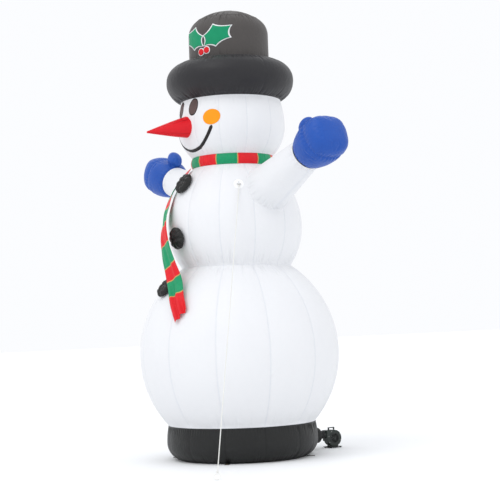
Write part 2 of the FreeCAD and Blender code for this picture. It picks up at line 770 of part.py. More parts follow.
# rope pulled tight from the left ring's bow to a loop on the ground
ring_frame = facing(cell.tether_turn.value, tether_tilt)
ring_angle = math.radians(cell.tether_turn.value)
bar_point = V(tether_radius * math.sin(ring_angle), -tether_radius * math.cos(ring_angle),
              cell.tether_height.value) + ring_frame.multVec(V(0, 0, bar_lift))
top_knot = bar_point + ring_frame.multVec(
    V(0, -cell.ring_radius.value - cell.ring_wire.value - cell.knot_radius.value - 0.5, 12))
end_angle = math.radians(cell.rope_end_turn.value)
reach = cell.rope_end_reach.value
ground_end = V(reach * math.sin(end_angle), -reach * math.cos(end_angle), 0)
pull = (ground_end - top_knot).normalize()
loop_drop = cell.loop_radius.value + cell.rope_radius.value + cell.knot_radius.value
loop_centre = ground_end - pull * (loop_drop - cell.knot_radius.value + 6)
low_knot = loop_centre - pull * (loop_drop - 0.5)
rope_start = top_knot + pull * cell.knot_radius.value
rope_end = low_knot - pull * cell.knot_radius.value
rope_length = (rope_end - rope_start).Length
rope = cylinder(cell.rope_radius, Size(rope_length, repr(rope_length)))
rope.Placement = FreeCAD.Placement(rope_start, FreeCAD.Rotation(V(0, 0, 1), pull))
node("tether_rope", rope)


def knot(centre):
    ball = doc.addObject("Part::Ellipsoid", "Knot")
    bind(ball, Radius1=cell.knot_radius, Radius2=cell.knot_radius * 0.8,
         Radius3=cell.knot_radius * 0.8)
    ball.Placement = FreeCAD.Placement(centre, FreeCAD.Rotation(V(0, 0, 1), pull))
    return ball


node("top_knot", knot(top_knot))
loop = bind(doc.addObject("Part::Torus", "Loop"), Radius1=cell.loop_radius,
            Radius2=cell.rope_radius)
level = pull.cross(V(0, 0, 1)).normalize()
loop_normal = pull.cross(level).normalize()
loop.Placement = FreeCAD.Placement(loop_centre, FreeCAD.Rotation(V(0, 0, 1), loop_normal))
node("ground_loop", group(loop, knot(low_knot)))

# ---------------------------------------------------------------- ground anchors

ANCHORS = (45, 135, 225, 315)
base_core = core(BASE, cell.gap)
anchor_start = cell.floor_radius - 20


def around(obj, direction, x=ZERO, out=ZERO, z=ZERO):
    """Place at a distance out from the centre line, with local X outward."""
    angle = math.radians(direction - 90)
    offset = V(out.value, x.value, z.value)
    turn = about_z(direction - 90)
    obj.Placement = FreeCAD.Placement(turn.multVec(offset), turn)
    return obj


tabs, grommets = [], []
for direction in ANCHORS:
    strip = box(cell.anchor_reach - anchor_start, cell.anchor_width, cell.skin)
    around(strip, direction, -cell.anchor_width / 2, anchor_start, cell.grommet_lip)
    eye = around(cylinder(cell.grommet_bore + 1.5, cell.skin * 3), direction, ZERO,
                 cell.anchor_hole_reach, -cell.skin)
    tabs.append(cut(strip, eye, base_core))
    sleeve_part = cylinder(cell.grommet_bore + 1.5, cell.skin + cell.grommet_lip * 2)
    around(sleeve_part, direction, ZERO, cell.anchor_hole_reach, ZERO)
    rims = []
    for level_z in (ZERO, cell.skin + cell.grommet_lip):
        rim = cylinder(cell.grommet_rim, cell.grommet_lip)
        rims.append(around(rim, direction, ZERO, cell.anchor_hole_reach, level_z))
    bore = around(cylinder(cell.grommet_bore, cell.skin * 4), direction, ZERO,
                  cell.anchor_hole_reach, -cell.skin)
    grommets.append(cut(group(sleeve_part, *rims), bore))
node("anchor_tabs", group(*tabs))
node("anchor_grommets", group(*grommets))

# ---------------------------------------------------------------- inflation sleeve and strap

along_minus_y = FreeCAD.Rotation(V(1, 0, 0), 90)
duct_mouth = cell.fan_reach - cell.duct_reach
outlet_tip = duct_mouth - cell.outlet_length
sleeve_end = outlet_tip + cell.sleeve_clamp
sleeve_start = cell.base_seam_radius - 60
neck_inside = cell.outlet_radius + cell.gap


def sleeve_outline(outside, inside_neck):
    """Outline along the sleeve, heights measured back from its clamped end."""
    full = sleeve_end - sleeve_start
    return [
        (outside, full, None),
        (outside, cell.sleeve_clamp + cell.sleeve_taper, None),
        (inside_neck, cell.sleeve_clamp, None),
        (inside_neck, ZERO, None),
    ]


outer_side = sleeve_outline(cell.sleeve_radius, neck_inside + cell.skin)
inner_side = sleeve_outline(cell.sleeve_radius - cell.skin, neck_inside)
sleeve_blank = move(turned(outer_side + inner_side[::-1], "Sleeve"), ZERO, sleeve_end,
                    sleeve_height, along_minus_y)
node("inflation_sleeve", cut(sleeve_blank, base_core))
strap_inside = neck_inside + cell.skin + cell.gap
strap_at = (cell.sleeve_clamp - cell.strap_width) / 2
strap = turned([
    (strap_inside, strap_at, None),
    (strap_inside + cell.strap_thick, strap_at, None),
    (strap_inside + cell.strap_thick, strap_at + cell.strap_width, None),
    (strap_inside, strap_at + cell.strap_width, None),
], "Strap")
node("sleeve_strap", move(strap, ZERO, sleeve_end, sleeve_height, along_minus_y))

# ---------------------------------------------------------------- blower

FAN_AT = (ZERO, cell.fan_reach, cell.fan_height)


def shell_half(side, hole):
    """Half of the scroll housing: a padded outline hollowed from the joint face."""
    body = doc.addObject("PartDesign::Body", "Housing")
    sketch = sketch_on(body, "YZ_Plane", "Outline")
    big = cell.scroll_radius
    draw(sketch, [
        (ZERO, big, None),
        (-cell.duct_reach, big, None),
        (-cell.duct_reach, ZERO, None),
        (-big, ZERO, ("x", ZERO)),
        (ZERO, -big, ("x", ZERO)),
        (big, ZERO, ("x", ZERO)),
    ])
    pad = body.newObject("PartDesign::Pad", "Half")
    pad.Profile = sketch
    pad.Reversed = side < 0
    bind(pad, Length=cell.scroll_half_width)
    wall = cell.housing_wall
    depth = cell.scroll_half_width - wall
    turn = FreeCAD.Rotation(V(0, 1, 0), 90 * side)
    round_room = cylinder(big - wall, depth)
    round_room.Placement = FreeCAD.Placement(V(0, 0, 0), turn)
    duct_room = box(depth, cell.duct_reach + wall, big - wall * 2)
    move(duct_room, ZERO if side > 0 else -depth, -cell.duct_reach - wall, wall)
    opening = cylinder(hole, cell.scroll_half_width * 2)
    opening.Placement = FreeCAD.Placement(V(0, 0, 0), turn)
    return move(cut(body, round_room, duct_room, opening), *FAN_AT)


node("intake_housing", shell_half(1, cell.intake_radius))
node("motor_housing", shell_half(-1, cell.motor_radius + cell.gap))

# outlet: a square flange with a round spigot that the sleeve is strapped to
flange = centred_box(cell.scroll_half_width * 2, cell.housing_wall, cell.scroll_radius,
                     ZERO, duct_mouth - cell.housing_wall / 2,
                     sleeve_height - cell.scroll_radius / 2)
spigot = move(cylinder(cell.outlet_radius, cell.outlet_length), ZERO, duct_mouth,
              sleeve_height, along_minus_y)
spigot_bore = move(cylinder(cell.outlet_radius - cell.outlet_wall, cell.outlet_length * 3),
                   ZERO, duct_mouth + cell.outlet_length, sleeve_height, along_minus_y)
node("outlet_spigot", cut(group(flange, spigot), spigot_bore))

# intake grille: rings joined by spokes, set against the intake side
along_x = FreeCAD.Rotation(V(0, 1, 0), 90)
grille_face = cell.scroll_half_width
grille_wall = cell.housing_wall


def grille_ring(outer_radius, width):
    ring = cut(cylinder(outer_radius, grille_wall), cylinder(outer_radius - width, grille_wall))
    return move(ring, grille_face, *FAN_AT[1:], along_x)


rings = [grille_ring(cell.intake_radius + 12, fixed(20))]
rings += [grille_ring(cell.intake_radius * share, fixed(5)) for share in (0.68, 0.42)]
hub = move(cylinder(cell.intake_radius * 0.18, grille_wall), grille_face, *FAN_AT[1:], along_x)
spokes = []
for turn_angle in range(0, 180, 30):
    spoke = box(cell.intake_radius * 2, fixed(5), grille_wall)
    turn = along_x * about_z(turn_angle)
    middle = V(grille_face.value, cell.fan_reach.value, cell.fan_height.value)
    offset = turn.multVec(V(-cell.intake_radius.value, -2.5, 0))
    spoke.Placement = FreeCAD.Placement(middle + offset, turn)
    spokes.append(spoke)
node("intake_grille", group(*rings, hub, *spokes))

# motor behind the fan, its shaft, and the wheel it turns
toward_minus_x = FreeCAD.Rotation(V(0, 1, 0), -90)
MOTOR_SINK = 16
COVER_SPACE = 14
motor_front = -cell.scroll_half_width + MOTOR_SINK
motor = move(cylinder(cell.motor_radius, cell.motor_length), motor_front, *FAN_AT[1:],
             toward_minus_x)
bearing = move(cylinder(cell.shaft_radius + 0.05, cell.motor_length * 3),
               motor_front + cell.motor_length, *FAN_AT[1:], toward_minus_x)
node("motor", cut(motor, bearing))
cover_radius = cell.motor_radius + COVER_SPACE
cover_depth = cell.motor_length - MOTOR_SINK + COVER_SPACE + 4
cover_outer = move(cylinder(cover_radius, cover_depth), -cell.scroll_half_width,
                   *FAN_AT[1:], toward_minus_x)
cover_inner = move(cylinder(cover_radius - cell.housing_wall, cover_depth - cell.housing_wall),
                   -cell.scroll_half_width, *FAN_AT[1:], toward_minus_x)
node("motor_cover", cut(cover_outer, cover_inner))
shaft = move(cylinder(cell.shaft_radius, cell.motor_length + 52),
             motor_front - cell.motor_length + 6, *FAN_AT[1:], along_x)
node("motor_shaft", shaft)

wheel_back = motor_front + 8
back_plate = cylinder(cell.impeller_radius, cell.housing_wall)
rim_top = cut(cylinder(cell.impeller_radius, cell.housing_wall),
              cylinder(cell.impeller_radius - 16, cell.housing_wall))
move(back_plate, wheel_back, *FAN_AT[1:], along_x)
move(rim_top, wheel_back + cell.impeller_width - cell.housing_wall, *FAN_AT[1:], along_x)
wheel_hub = move(cylinder(cell.shaft_radius + 8, fixed(24)), wheel_back,
                 *FAN_AT[1:], along_x)
blades = []
BLADES = 18
for index in range(BLADES):
    blade = box(fixed(16), fixed(2), cell.impeller_width)
    turn = along_x * about_z(index * 360 / BLADES)
    middle = V(wheel_back.value, cell.fan_reach.value, cell.fan_height.value)
    offset = turn.multVec(V(cell.impeller_radius.value - 16.5, -1, 0))
    blade.Placement = FreeCAD.Placement(middle + offset, turn)
    blades.append(blade)
shaft_hole = move(cylinder(cell.shaft_radius, cell.impeller_width * 2), wheel_back - 10,
                  *FAN_AT[1:], along_x)
node("impeller", cut(group(back_plate, rim_top, wheel_hub, *blades), shaft_hole))

# stand: a plate under the housing on four rubber feet, with two cheeks up to the scroll
stand_top = cell.stand_height + cell.stand_thick
plate = centred_box(cell.scroll_half_width * 2 + 60, cell.scroll_radius * 1.8, cell.stand_thick,
                    ZERO, cell.fan_reach, cell.stand_height)
saddle = centred_box(cell.scroll_half_width * 1.6, cell.scroll_radius * 1.1,
                     cell.scroll_radius * 0.45, ZERO, cell.fan_reach, stand_top)
scroll_room = move(cylinder(cell.scroll_radius + cell.gap, cell.scroll_half_width * 4),
                   -cell.scroll_half_width * 2, *FAN_AT[1:], along_x)
node("blower_stand", cut(group(plate, saddle), scroll_room))
feet = []
for foot_x in (-1, 1):
    for foot_y in (-1, 1):
        foot = cone(fixed(16), fixed(12), cell.stand_height)
        feet.append(move(foot, (cell.scroll_half_width + 12) * foot_x,
                         cell.fan_reach + cell.scroll_radius * 0.72 * foot_y))
node("rubber_feet", group(*feet))

# carrying handle across the top
handle_base = cell.fan_height + cell.scroll_radius
handle_span, handle_width, post_width, post_height = fixed(90), fixed(20), fixed(14), fixed(26)
handle_middle = cell.fan_reach - 20
posts = [centred_box(handle_width, post_width, post_height, ZERO,
                     handle_middle - handle_span / 2 * end, handle_base)
         for end in (-1, 1)]
grip = centred_box(handle_width, handle_span + post_width, fixed(12), ZERO,
                   handle_middle, handle_base + post_height)
scroll_solid = move(cylinder(cell.scroll_radius + cell.gap, cell.scroll_half_width * 4),
                    -cell.scroll_half_width * 2, *FAN_AT[1:], along_x)
node("carry_handle", cut(group(*posts, grip), scroll_solid))

# switch box on the motor side, with its rocker and cable gland
switch_x = -cell.scroll_half_width - fixed(18)
switch_z = cell.fan_height - 40
switch_y = cell.fan_reach - 82
switch_body = centred_box(fixed(36), fixed(44), fixed(60), switch_x,
                          switch_y, switch_z)
rocker_room = centred_box(fixed(12), fixed(18), fixed(26),
                          switch_x - 18, switch_y, switch_z + 26)
node("switch_box", cut(switch_body, rocker_room))
rocker = centred_box(fixed(9), fixed(16.6), fixed(22), switch_x - 19,
                     switch_y, switch_z + 28)
node("switch_rocker", rocker)
gland = move(cylinder(fixed(9), fixed(16)), switch_x - 34, switch_y, switch_z + 12, along_x)
gland_hole = move(cylinder(fixed(4), fixed(12)), switch_x - 35, switch_y, switch_z + 12, along_x)
node("cable_gland", cut(gland, gland_hole))

# screws that join the housing halves, seen as heads round the intake side
screws = []
screw_reach = cell.scroll_radius - 9
for screw_angle in (-60, -15, 30, 120, 165, 210):
    angle = math.radians(screw_angle)
    head = cylinder(fixed(4.5), fixed(3))
    screws.append(move(head, grille_face, cell.fan_reach + screw_reach * math.cos(angle),
                       cell.fan_height + screw_reach * math.sin(angle), along_x))
node("housing_screws", group(*screws))

# ---------------------------------------------------------------- deflation zip

base_cover = barrel(BASE, cell.gap + cell.patch, -cell.gap)
zip_block = box(cell.zip_half_length * 2, cell.zip_width, cell.base_radius * 0.2)
zip_place = facing(cell.zip_turn.value)
zip_block.Placement = FreeCAD.Placement(
    V(0, 0, cell.base_belly_height.value) + zip_place.multVec(
        V(-cell.zip_half_length.value, -cell.zip_width.value / 2, cell.base_radius.value * 0.9)),
    zip_place)
node("zip_tape", boolean("Common", base_cover, zip_block))

slider_start = cell.zip_turn.value - cell.zip_travel.value / 2
slider_place = facing(slider_start)
slider_foot = (cell.base_radius + cell.gap * 3 + cell.patch).value


def on_zip(obj, x, y, out, extra=None):
    """Place by the slider: local X level, local Y up, local Z outward."""
    middle = V(0, 0, cell.base_belly_height.value)
    obj.Placement = FreeCAD.Placement(
        middle + slider_place.multVec(V(x, y, slider_foot + out)),
        slider_place * (extra or FreeCAD.Rotation()))
    return obj


slider_block = on_zip(box(fixed(20), fixed(16), fixed(5.5)), -10, -8, 0)
ears = [on_zip(box(fixed(3), fixed(7), fixed(7.5)), x, 0, 5.5) for x in (-8, 5)]
pin_turn = FreeCAD.Rotation(V(0, 1, 0), 90)
slider_pin = cylinder(fixed(1.5), fixed(16))
on_zip(slider_pin, -8, 3.5, 10, pin_turn)
node("zip_slider", group(slider_block, *ears, slider_pin))
pull_blank = on_zip(box(fixed(9), fixed(42), fixed(5.6)), -4.5, -35.5, 7.2)
pull_hole = cylinder(fixed(1.56), fixed(16))
on_zip(pull_hole, -8, 3.5, 10, pin_turn)
node("zip_pull", cut(pull_blank, pull_hole))

# ---------------------------------------------------------------- inside lights

light_strap = centred_box(cell.strap_half_width * 2, cell.patch,
                          cell.total_height - cell.skin * 2 - 1, ZERO, ZERO, cell.skin)
node("light_strap", light_strap)
holders, bulbs = [], []
for lamp_height in (cell.base_height + 350, cell.lower_height + 500, cell.middle_height,
                    cell.head_height, cell.brim_height + 200):
    holder = move(cylinder(fixed(20), fixed(40)), ZERO, -cell.patch / 2, lamp_height,
                  along_minus_y)
    bulb = bind(doc.addObject("Part::Sphere", "Bulb"), Radius=cell.bulb_radius)
    move(bulb, ZERO, -cell.patch / 2 - 40 - cell.bulb_radius, lamp_height)
    holders.append(holder)
    bulbs.append(bulb)
node("lamp_holders", group(*holders))
node("lamps", group(*bulbs))

# ---------------------------------------------------------------- check and write

doc.recompute()
problems = [f"{obj.Name}: {obj.State}" for obj in doc.Objects
            if "Invalid" in obj.State or "Error" in obj.State]
for obj in nodes:
    if obj.Shape.isNull() or not obj.Shape.isValid() or not obj.Shape.Solids:
        problems.append(f"{obj.Label}: shape is empty or not valid")
if problems:
    raise RuntimeError("; ".join(problems))

os.makedirs("parts", exist_ok=True)
for obj in nodes:
    obj.Shape.exportStep(f"parts/{obj.Label}.step")
print(f"rope: one straight run of {rope_length:.0f} mm from {tuple(rope_start)} to {tuple(rope_end)}")
print(f"{len(nodes)} nodes, {sum(len(obj.Shape.Solids) for obj in nodes)} solids")
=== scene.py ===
import math

import bmesh
import bpy
from mathutils import Matrix, Vector, noise
from mathutils.bvhtree import BVHTree


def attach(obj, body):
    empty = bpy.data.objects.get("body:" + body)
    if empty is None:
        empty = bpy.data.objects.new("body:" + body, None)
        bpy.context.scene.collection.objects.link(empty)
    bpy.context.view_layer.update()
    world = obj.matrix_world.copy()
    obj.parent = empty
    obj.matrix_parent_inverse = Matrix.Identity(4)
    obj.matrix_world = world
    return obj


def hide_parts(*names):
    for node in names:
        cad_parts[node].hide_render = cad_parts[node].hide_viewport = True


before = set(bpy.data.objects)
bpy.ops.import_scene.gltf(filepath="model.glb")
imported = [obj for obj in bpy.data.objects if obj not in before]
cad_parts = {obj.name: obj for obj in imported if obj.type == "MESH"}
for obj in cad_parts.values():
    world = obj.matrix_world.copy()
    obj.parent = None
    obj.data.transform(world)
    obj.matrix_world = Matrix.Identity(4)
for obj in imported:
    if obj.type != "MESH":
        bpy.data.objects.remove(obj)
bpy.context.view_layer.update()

# ---------------------------------------------------------------- place and light
# The snowman stands on a plain pale floor under soft light, seen from its left front at the
# height of a standing person's eyes.
EYE_TURN, EYE_DISTANCE, EYE_HEIGHT = math.radians(58), 17.8, 1.85
EYE_PITCH, EYE_YAW, EYE_ROLL = math.radians(3.08), math.radians(0.62141), math.radians(2.1)
LENS, FARTHEST_SEEN = 93.6, 200
# name, direction, height, strength and softness of each sun, with its angles in degrees
SUNS = (("key", 15, 50, 0.75, 40), ("fill", 110, 30, 0.22, 70), ("back", 240, 45, 0.20, 60))

up = Vector((0, 0, 1))
ahead = Vector((-math.sin(EYE_TURN), math.cos(EYE_TURN), 0))
side = Vector((math.cos(EYE_TURN), math.sin(EYE_TURN), 0))
ahead, side = (ahead * math.cos(EYE_YAW) + side * math.sin(EYE_YAW),
               side * math.cos(EYE_YAW) - ahead * math.sin(EYE_YAW))
sight = ahead * math.cos(EYE_PITCH) + up * math.sin(EYE_PITCH)
crown = up * math.cos(EYE_PITCH) - ahead * math.sin(EYE_PITCH)
right = side * math.cos(EYE_ROLL) - crown * math.sin(EYE_ROLL)
upright = side * math.sin(EYE_ROLL) + crown * math.cos(EYE_ROLL)
camera = bpy.data.objects.new("camera", bpy.data.cameras.new("camera"))
camera.data.lens = LENS
camera.data.clip_end = FARTHEST_SEEN
camera.matrix_world = Matrix((right, upright, -sight)).transposed().to_4x4()
camera.matrix_world.translation = (EYE_DISTANCE * math.sin(EYE_TURN),
                                   -EYE_DISTANCE * math.cos(EYE_TURN), EYE_HEIGHT)
bpy.context.scene.collection.objects.link(camera)
bpy.context.scene.camera = camera

for name, turn, height, strength, softness in SUNS:
    lamp = bpy.data.lights.new(name, "SUN")
    lamp.energy = strength
    lamp.angle = math.radians(softness)
    sun = bpy.data.objects.new(name, lamp)
    toward = Vector((math.sin(math.radians(turn)), -math.cos(math.radians(turn)),
                     math.tan(math.radians(height))))
    sun.rotation_euler = toward.to_track_quat("Z", "Y").to_euler()
    bpy.context.scene.collection.objects.link(sun)

sky = bpy.data.worlds.new("pale room")
sky.use_nodes = True
sky.node_tree.nodes["Background"].inputs["Color"].default_value = (0.97, 0.98, 1.0, 1)
sky.node_tree.nodes["Background"].inputs["Strength"].default_value = 1.0
bpy.context.scene.world = sky
bpy.context.scene.view_settings.view_transform = "Standard"


class Thread:
    """A node socket that takes part in Python sums. node() adds any other kind of node."""

    def __init__(self, tree, socket=None):
        self.tree = tree
        self.socket = socket

    @staticmethod
    def pick(sockets, key):
        if isinstance(key, int):
            return sockets[key]
        return next(s for s in sockets if s.name == key and s.enabled)

    def node(self, kind, sockets=None, out=0, stops=None, **settings):
        made = self.tree.nodes.new(kind)
        for name, value in settings.items():
            setattr(made, name, value)
        if stops:
            ramp = made.color_ramp
            ramp.interpolation = "CONSTANT"
            while len(ramp.elements) < len(stops):
                ramp.elements.new(1.0)
            for element, (place, colour) in zip(ramp.elements, stops):
                element.position = place
                element.color = (*colour, 1)
        for key, value in (sockets or {}).items():
            entry = self.pick(made.inputs, key)
            if isinstance(value, Thread):
                self.tree.links.new(value.socket, entry)
            else:
                entry.default_value = value
        return Thread(self.tree, self.pick(made.outputs, out) if len(made.outputs) else None)

    def sum(self, operation, *values):
        return self.node("ShaderNodeMath", dict(enumerate(values)), operation=operation)

    def __add__(self, other):
        return self.sum("ADD", self, other)

    def __sub__(self, other):
        return self.sum("SUBTRACT", self, other)

    def __rsub__(self, other):
        return self.sum("SUBTRACT", other, self)

    def __mul__(self, other):
        return self.sum("MULTIPLY", self, other)

    def __truediv__(self, other):
        return self.sum("DIVIDE", self, other)

    def __pow__(self, other):
        return self.sum("POWER", self, other)

    __radd__ = __add__
    __rmul__ = __mul__

    def noise(self, place, scale, detail=2.0, twist=0.0):
        return self.node("ShaderNodeTexNoise", {"Vector": place, "Scale": scale,
                                                "Detail": detail, "Distortion": twist})

    def blend(self, share, first, second):
        """Colour between two colours."""
        return self.node("ShaderNodeMix", {0: share, 6: first, 7: second}, out=2,
                         data_type="RGBA")


def bare_material(name):
    finish = bpy.data.materials.new(name)
    finish.use_nodes = True
    finish.node_tree.nodes.clear()
    thread = Thread(finish.node_tree)
    return finish, thread, thread.node("ShaderNodeTexCoord", out="Object")


def surface(thread, colour, roughness, relief, strength, distance, **fixed):
    """Principled surface, with its bump, joined to the material's output."""
    bump = thread.node("ShaderNodeBump", {"Height": relief, "Strength": strength,
                                          "Distance": distance})
    sockets = {"Base Color": colour, "Roughness": roughness, "Normal": bump,
               "Specular IOR Level": 0.28}
    sockets.update({name.replace("_", " "): value for name, value in fixed.items()})
    shader = thread.node("ShaderNodeBsdfPrincipled", sockets)
    thread.node("ShaderNodeOutputMaterial", {"Surface": shader})


floor_paint, t, place = bare_material("floor paint")
surface(t, t.blend(t.noise(place, 0.4), (0.88, 0.89, 0.90, 1), (0.91, 0.92, 0.93, 1)), 0.85,
        t.noise(place, 30), 0.05, 0.01)
ground = bpy.data.meshes.new("ground")
ground.from_pydata([(-80, -80, 0), (80, -80, 0), (80, 80, 0), (-80, 80, 0)], [], [(0, 1, 2, 3)])
ground.materials.append(floor_paint)
floor = bpy.data.objects.new("ground", ground)
bpy.context.scene.collection.objects.link(floor)

# ---------------------------------------------------------------- tether rope
# A white braided rope, pulled tight from the ring on the left of the chest to a loop that is
# tied for a stake, with a knot at each end.
ROPE_RADIUS, ROPE_TOP, ROPE_LOW = 0.006, Vector((0.74271, -0.38069, 3.59855)), \
    Vector((1.98132, -1.59766, 0.11056))
PULL = (ROPE_LOW - ROPE_TOP).normalized()
KNOT_RADIUS, LOOP_RADIUS = 0.015, 0.038
rope_side = PULL.cross(up).normalized()
rope_back = PULL.cross(rope_side).normalized()

rope_yarn, t, place = bare_material("braided rope")


def along(direction):
    return t.node("ShaderNodeVectorMath", {0: place, 1: direction}, out="Value",
                  operation="DOT_PRODUCT")


rope_across = along(rope_side) - ROPE_TOP.dot(rope_side)
rope_deep = along(rope_back) - ROPE_TOP.dot(rope_back)
around_rope = t.sum("ARCTAN2", rope_deep, rope_across) * 4.0
down_rope = along(PULL) * 420.0
braid = t.sum("SINE", around_rope + down_rope) * t.sum("SINE", around_rope - down_rope)
worn = t.noise(place, 25, 4)
surface(t, t.blend(braid * 0.3 + worn * 0.4, (0.9, 0.9, 0.87, 1), (0.62, 0.61, 0.57, 1)), 0.8,
        braid, 0.6, 0.002)


def settle(piece, body, slot, *replaced):
    """Let a piece ride on its body, in place of the nodes it stands for. The slot is not used."""
    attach(piece, body)
    if replaced:
        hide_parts(*replaced)
    return piece


def linked(name, data):
    piece = bpy.data.objects.new(name, data)
    bpy.context.scene.collection.objects.link(piece)
    return piece


def add_piece(name, data, body, slot, *replaced):
    """Object for a finished mesh or curve, riding on its body."""
    return settle(linked(name, data), body, slot, *replaced)


rope_line = bpy.data.curves.new("tether_line", "CURVE")
rope_line.dimensions = "3D"
rope_line.bevel_depth = ROPE_RADIUS
rope_line.bevel_resolution = 4
rope_line.use_fill_caps = True
rope_line.materials.append(rope_yarn)
spline = rope_line.splines.new("NURBS")
rope_points = (ROPE_TOP, ROPE_TOP + PULL * 0.072, ROPE_LOW - PULL * 0.072, ROPE_LOW)
spline.points.add(len(rope_points) - 1)
for point, spot in zip(spline.points, rope_points):
    point.co = (*spot, 1)
spline.order_u = 3
spline.use_endpoint_u = True
rope_piece = add_piece("tether_line", rope_line, "snowman", "white_rope", "tether_rope")


def yarn_tube(mesh, route, thick, sides=10):
    """Round tube along a closed route of points."""
    count = len(route)
    rings = []
    for i, spot in enumerate(route):
        tangent = (route[(i + 1) % count] - route[i - 1]).normalized()
        first = tangent.cross(rope_side + rope_back * 0.37).normalized()
        second = tangent.cross(first)
        rings.append([mesh.verts.new(spot + (first * math.cos(a) + second * math.sin(a)) * thick)
                      for a in (2 * math.pi * k / sides for k in range(sides))])
    for i in range(count):
        near, far = rings[i], rings[(i + 1) % count]
        for k in range(sides):
            mesh.faces.new((near[k], near[(k + 1) % sides], far[(k + 1) % sides], far[k]))


def knot_route(centre, size):
    """Three-lobed overhand knot drawn tight round the rope."""
    route = []
    for k in range(60):
        a = 2 * math.pi * k / 60
        ring = 0.55 + 0.30 * math.cos(3 * a)
        route.append(centre + (rope_side * (math.cos(2 * a) * ring)
                               + rope_back * (math.sin(2 * a) * ring)
                               + PULL * (0.42 * math.sin(3 * a))) * size)
    return route


def rope_end(name, replaced, knot_at, loop_at=None):
    mesh = bmesh.new()
    yarn_tube(mesh, knot_route(knot_at, KNOT_RADIUS), ROPE_RADIUS * 0.72)
    if loop_at is not None:
        loop = []
        for k in range(64):
            a = 2 * math.pi * k / 64
            spread = LOOP_RADIUS * (1 - 0.06 * math.cos(2 * a))
            loop.append(loop_at + (rope_side * math.sin(a) - PULL * math.cos(a)) * spread)
        yarn_tube(mesh, loop, ROPE_RADIUS)
    bmesh.ops.recalc_face_normals(mesh, faces=mesh.faces)
    data = bpy.data.meshes.new(name)
    mesh.to_mesh(data)
    data.shade_smooth()
    data.materials.append(rope_yarn)
    return add_piece(name, data, "snowman", "white_rope", replaced)


low_knot = ROPE_LOW + PULL * KNOT_RADIUS
rope_ends = [rope_end("ring_knot", "top_knot", ROPE_TOP - PULL * KNOT_RADIUS),
             rope_end("stake_loop", "ground_loop", low_knot, low_knot + PULL * 0.0585)]

# ---------------------------------------------------------------- base
# Low black drum of coated nylon that the balls are sewn to. Its wall is gathered into the
# floor disc and into the seam above.
FLOOR_RADIUS, BASE_RADIUS, BASE_BELLY, BASE_TOP_RADIUS, BASE_TOP = 0.870, 1.027, 0.230, 1.000, 0.467
GORES, FIRST_SEAM = 12, math.radians(15)
AROUND = 600


def coated_nylon(name, light, dark, shine, crinkle=0.25, seam_tint=None):
    """Thin coated fabric: cloudy colour, soft crinkles, fine weave and a darker sewn line."""
    cloth, t, place = bare_material(name)
    clouds = t.noise(place, 1.3, 3)
    crumple = t.noise(place, 11, 3, 1.4)
    small = t.noise(place, 42, 3, 0.8)
    weave = t.noise(place, 900, 1)
    line = t.node("ShaderNodeAttribute", out="Fac", attribute_name="seam")
    colour = t.blend(clouds * 0.55 + crumple * 0.25, (*light, 1), (*dark, 1))
    tint = seam_tint or [channel * 0.72 for channel in dark]
    colour = t.blend(line * 0.7, colour, (*tint, 1))
    relief = crumple * 0.8 + small * 0.3 + weave * 0.02
    surface(t, colour, shine + small * 0.16 - clouds * 0.05, relief, crinkle, 0.012,
            Sheen_Weight=0.02)
    return cloth


def seam_curve(low, belly, high, rows):
    """Radius and height of a panel between two seams, bulging to its belly. Each half is an
    arc whose middle is at the belly's height."""
    halves = []
    for end in (low, high):
        square = end[0] ** 2 + (end[1] - belly[1]) ** 2 - belly[0] ** 2
        middle = square / (2 * (end[0] - belly[0]))
        bend = belly[0] - middle
        halves.append((middle, bend, math.asin(max(-1.0, min(1.0, (end[1] - belly[1]) / bend)))))
    total = abs(halves[0][1] * halves[0][2]) + abs(halves[1][1] * halves[1][2])
    curve = []
    for i in range(rows + 1):
        run = total * i / rows - abs(halves[0][1] * halves[0][2])
        middle, bend, _ = halves[0] if run < 0 else halves[1]
        curve.append((middle + bend * math.cos(run / bend), belly[1] + bend * math.sin(run / bend)))
    return curve


def ring_of(radius, height, around=AROUND):
    """Points round the snowman, starting at its front and going to its left."""
    return [Vector((radius * math.sin(a), -radius * math.cos(a), height))
            for a in (2 * math.pi * k / around for k in range(around))]


def skin(name, rings, tip=None, foot=None):
    """Mesh over rings of points, closed at either end by a middle point if one is given. It
    notes how far round each point is, and how far it is from the first and last ring."""
    around = len(rings[0])
    points = [spot for ring in rings for spot in ring]
    faces = [(j * around + i, j * around + (i + 1) % around,
              (j + 1) * around + (i + 1) % around, (j + 1) * around + i)
             for j in range(len(rings) - 1) for i in range(around)]
    for middle, ring, turned in ((foot, 0, True), (tip, len(rings) - 1, False)):
        if middle is None:
            continue
        points.append(middle)
        for i in range(around):
            edge = (ring * around + i, ring * around + (i + 1) % around)
            faces.append((*(edge[::-1] if turned else edge), len(points) - 1))
    data = bpy.data.meshes.new(name)
    data.from_pydata(points, [], faces)
    from_low = [0.0] * len(points)
    for i in range(around):
        for j in range(1, len(rings)):
            from_low[j * around + i] = (from_low[(j - 1) * around + i]
                                        + (rings[j][i] - rings[j - 1][i]).length)
    last = (len(rings) - 1) * around
    measures = {"turn": [2 * math.pi * (k % around) / around for k in range(len(points))],
                "low": from_low,
                "high": [from_low[last + k % around] - from_low[k] for k in range(len(points))]}
    for key, values in measures.items():
        data.attributes.new(key, "FLOAT", "POINT").data.foreach_set("value", values)
    data.shade_smooth()
    return linked(name, data)


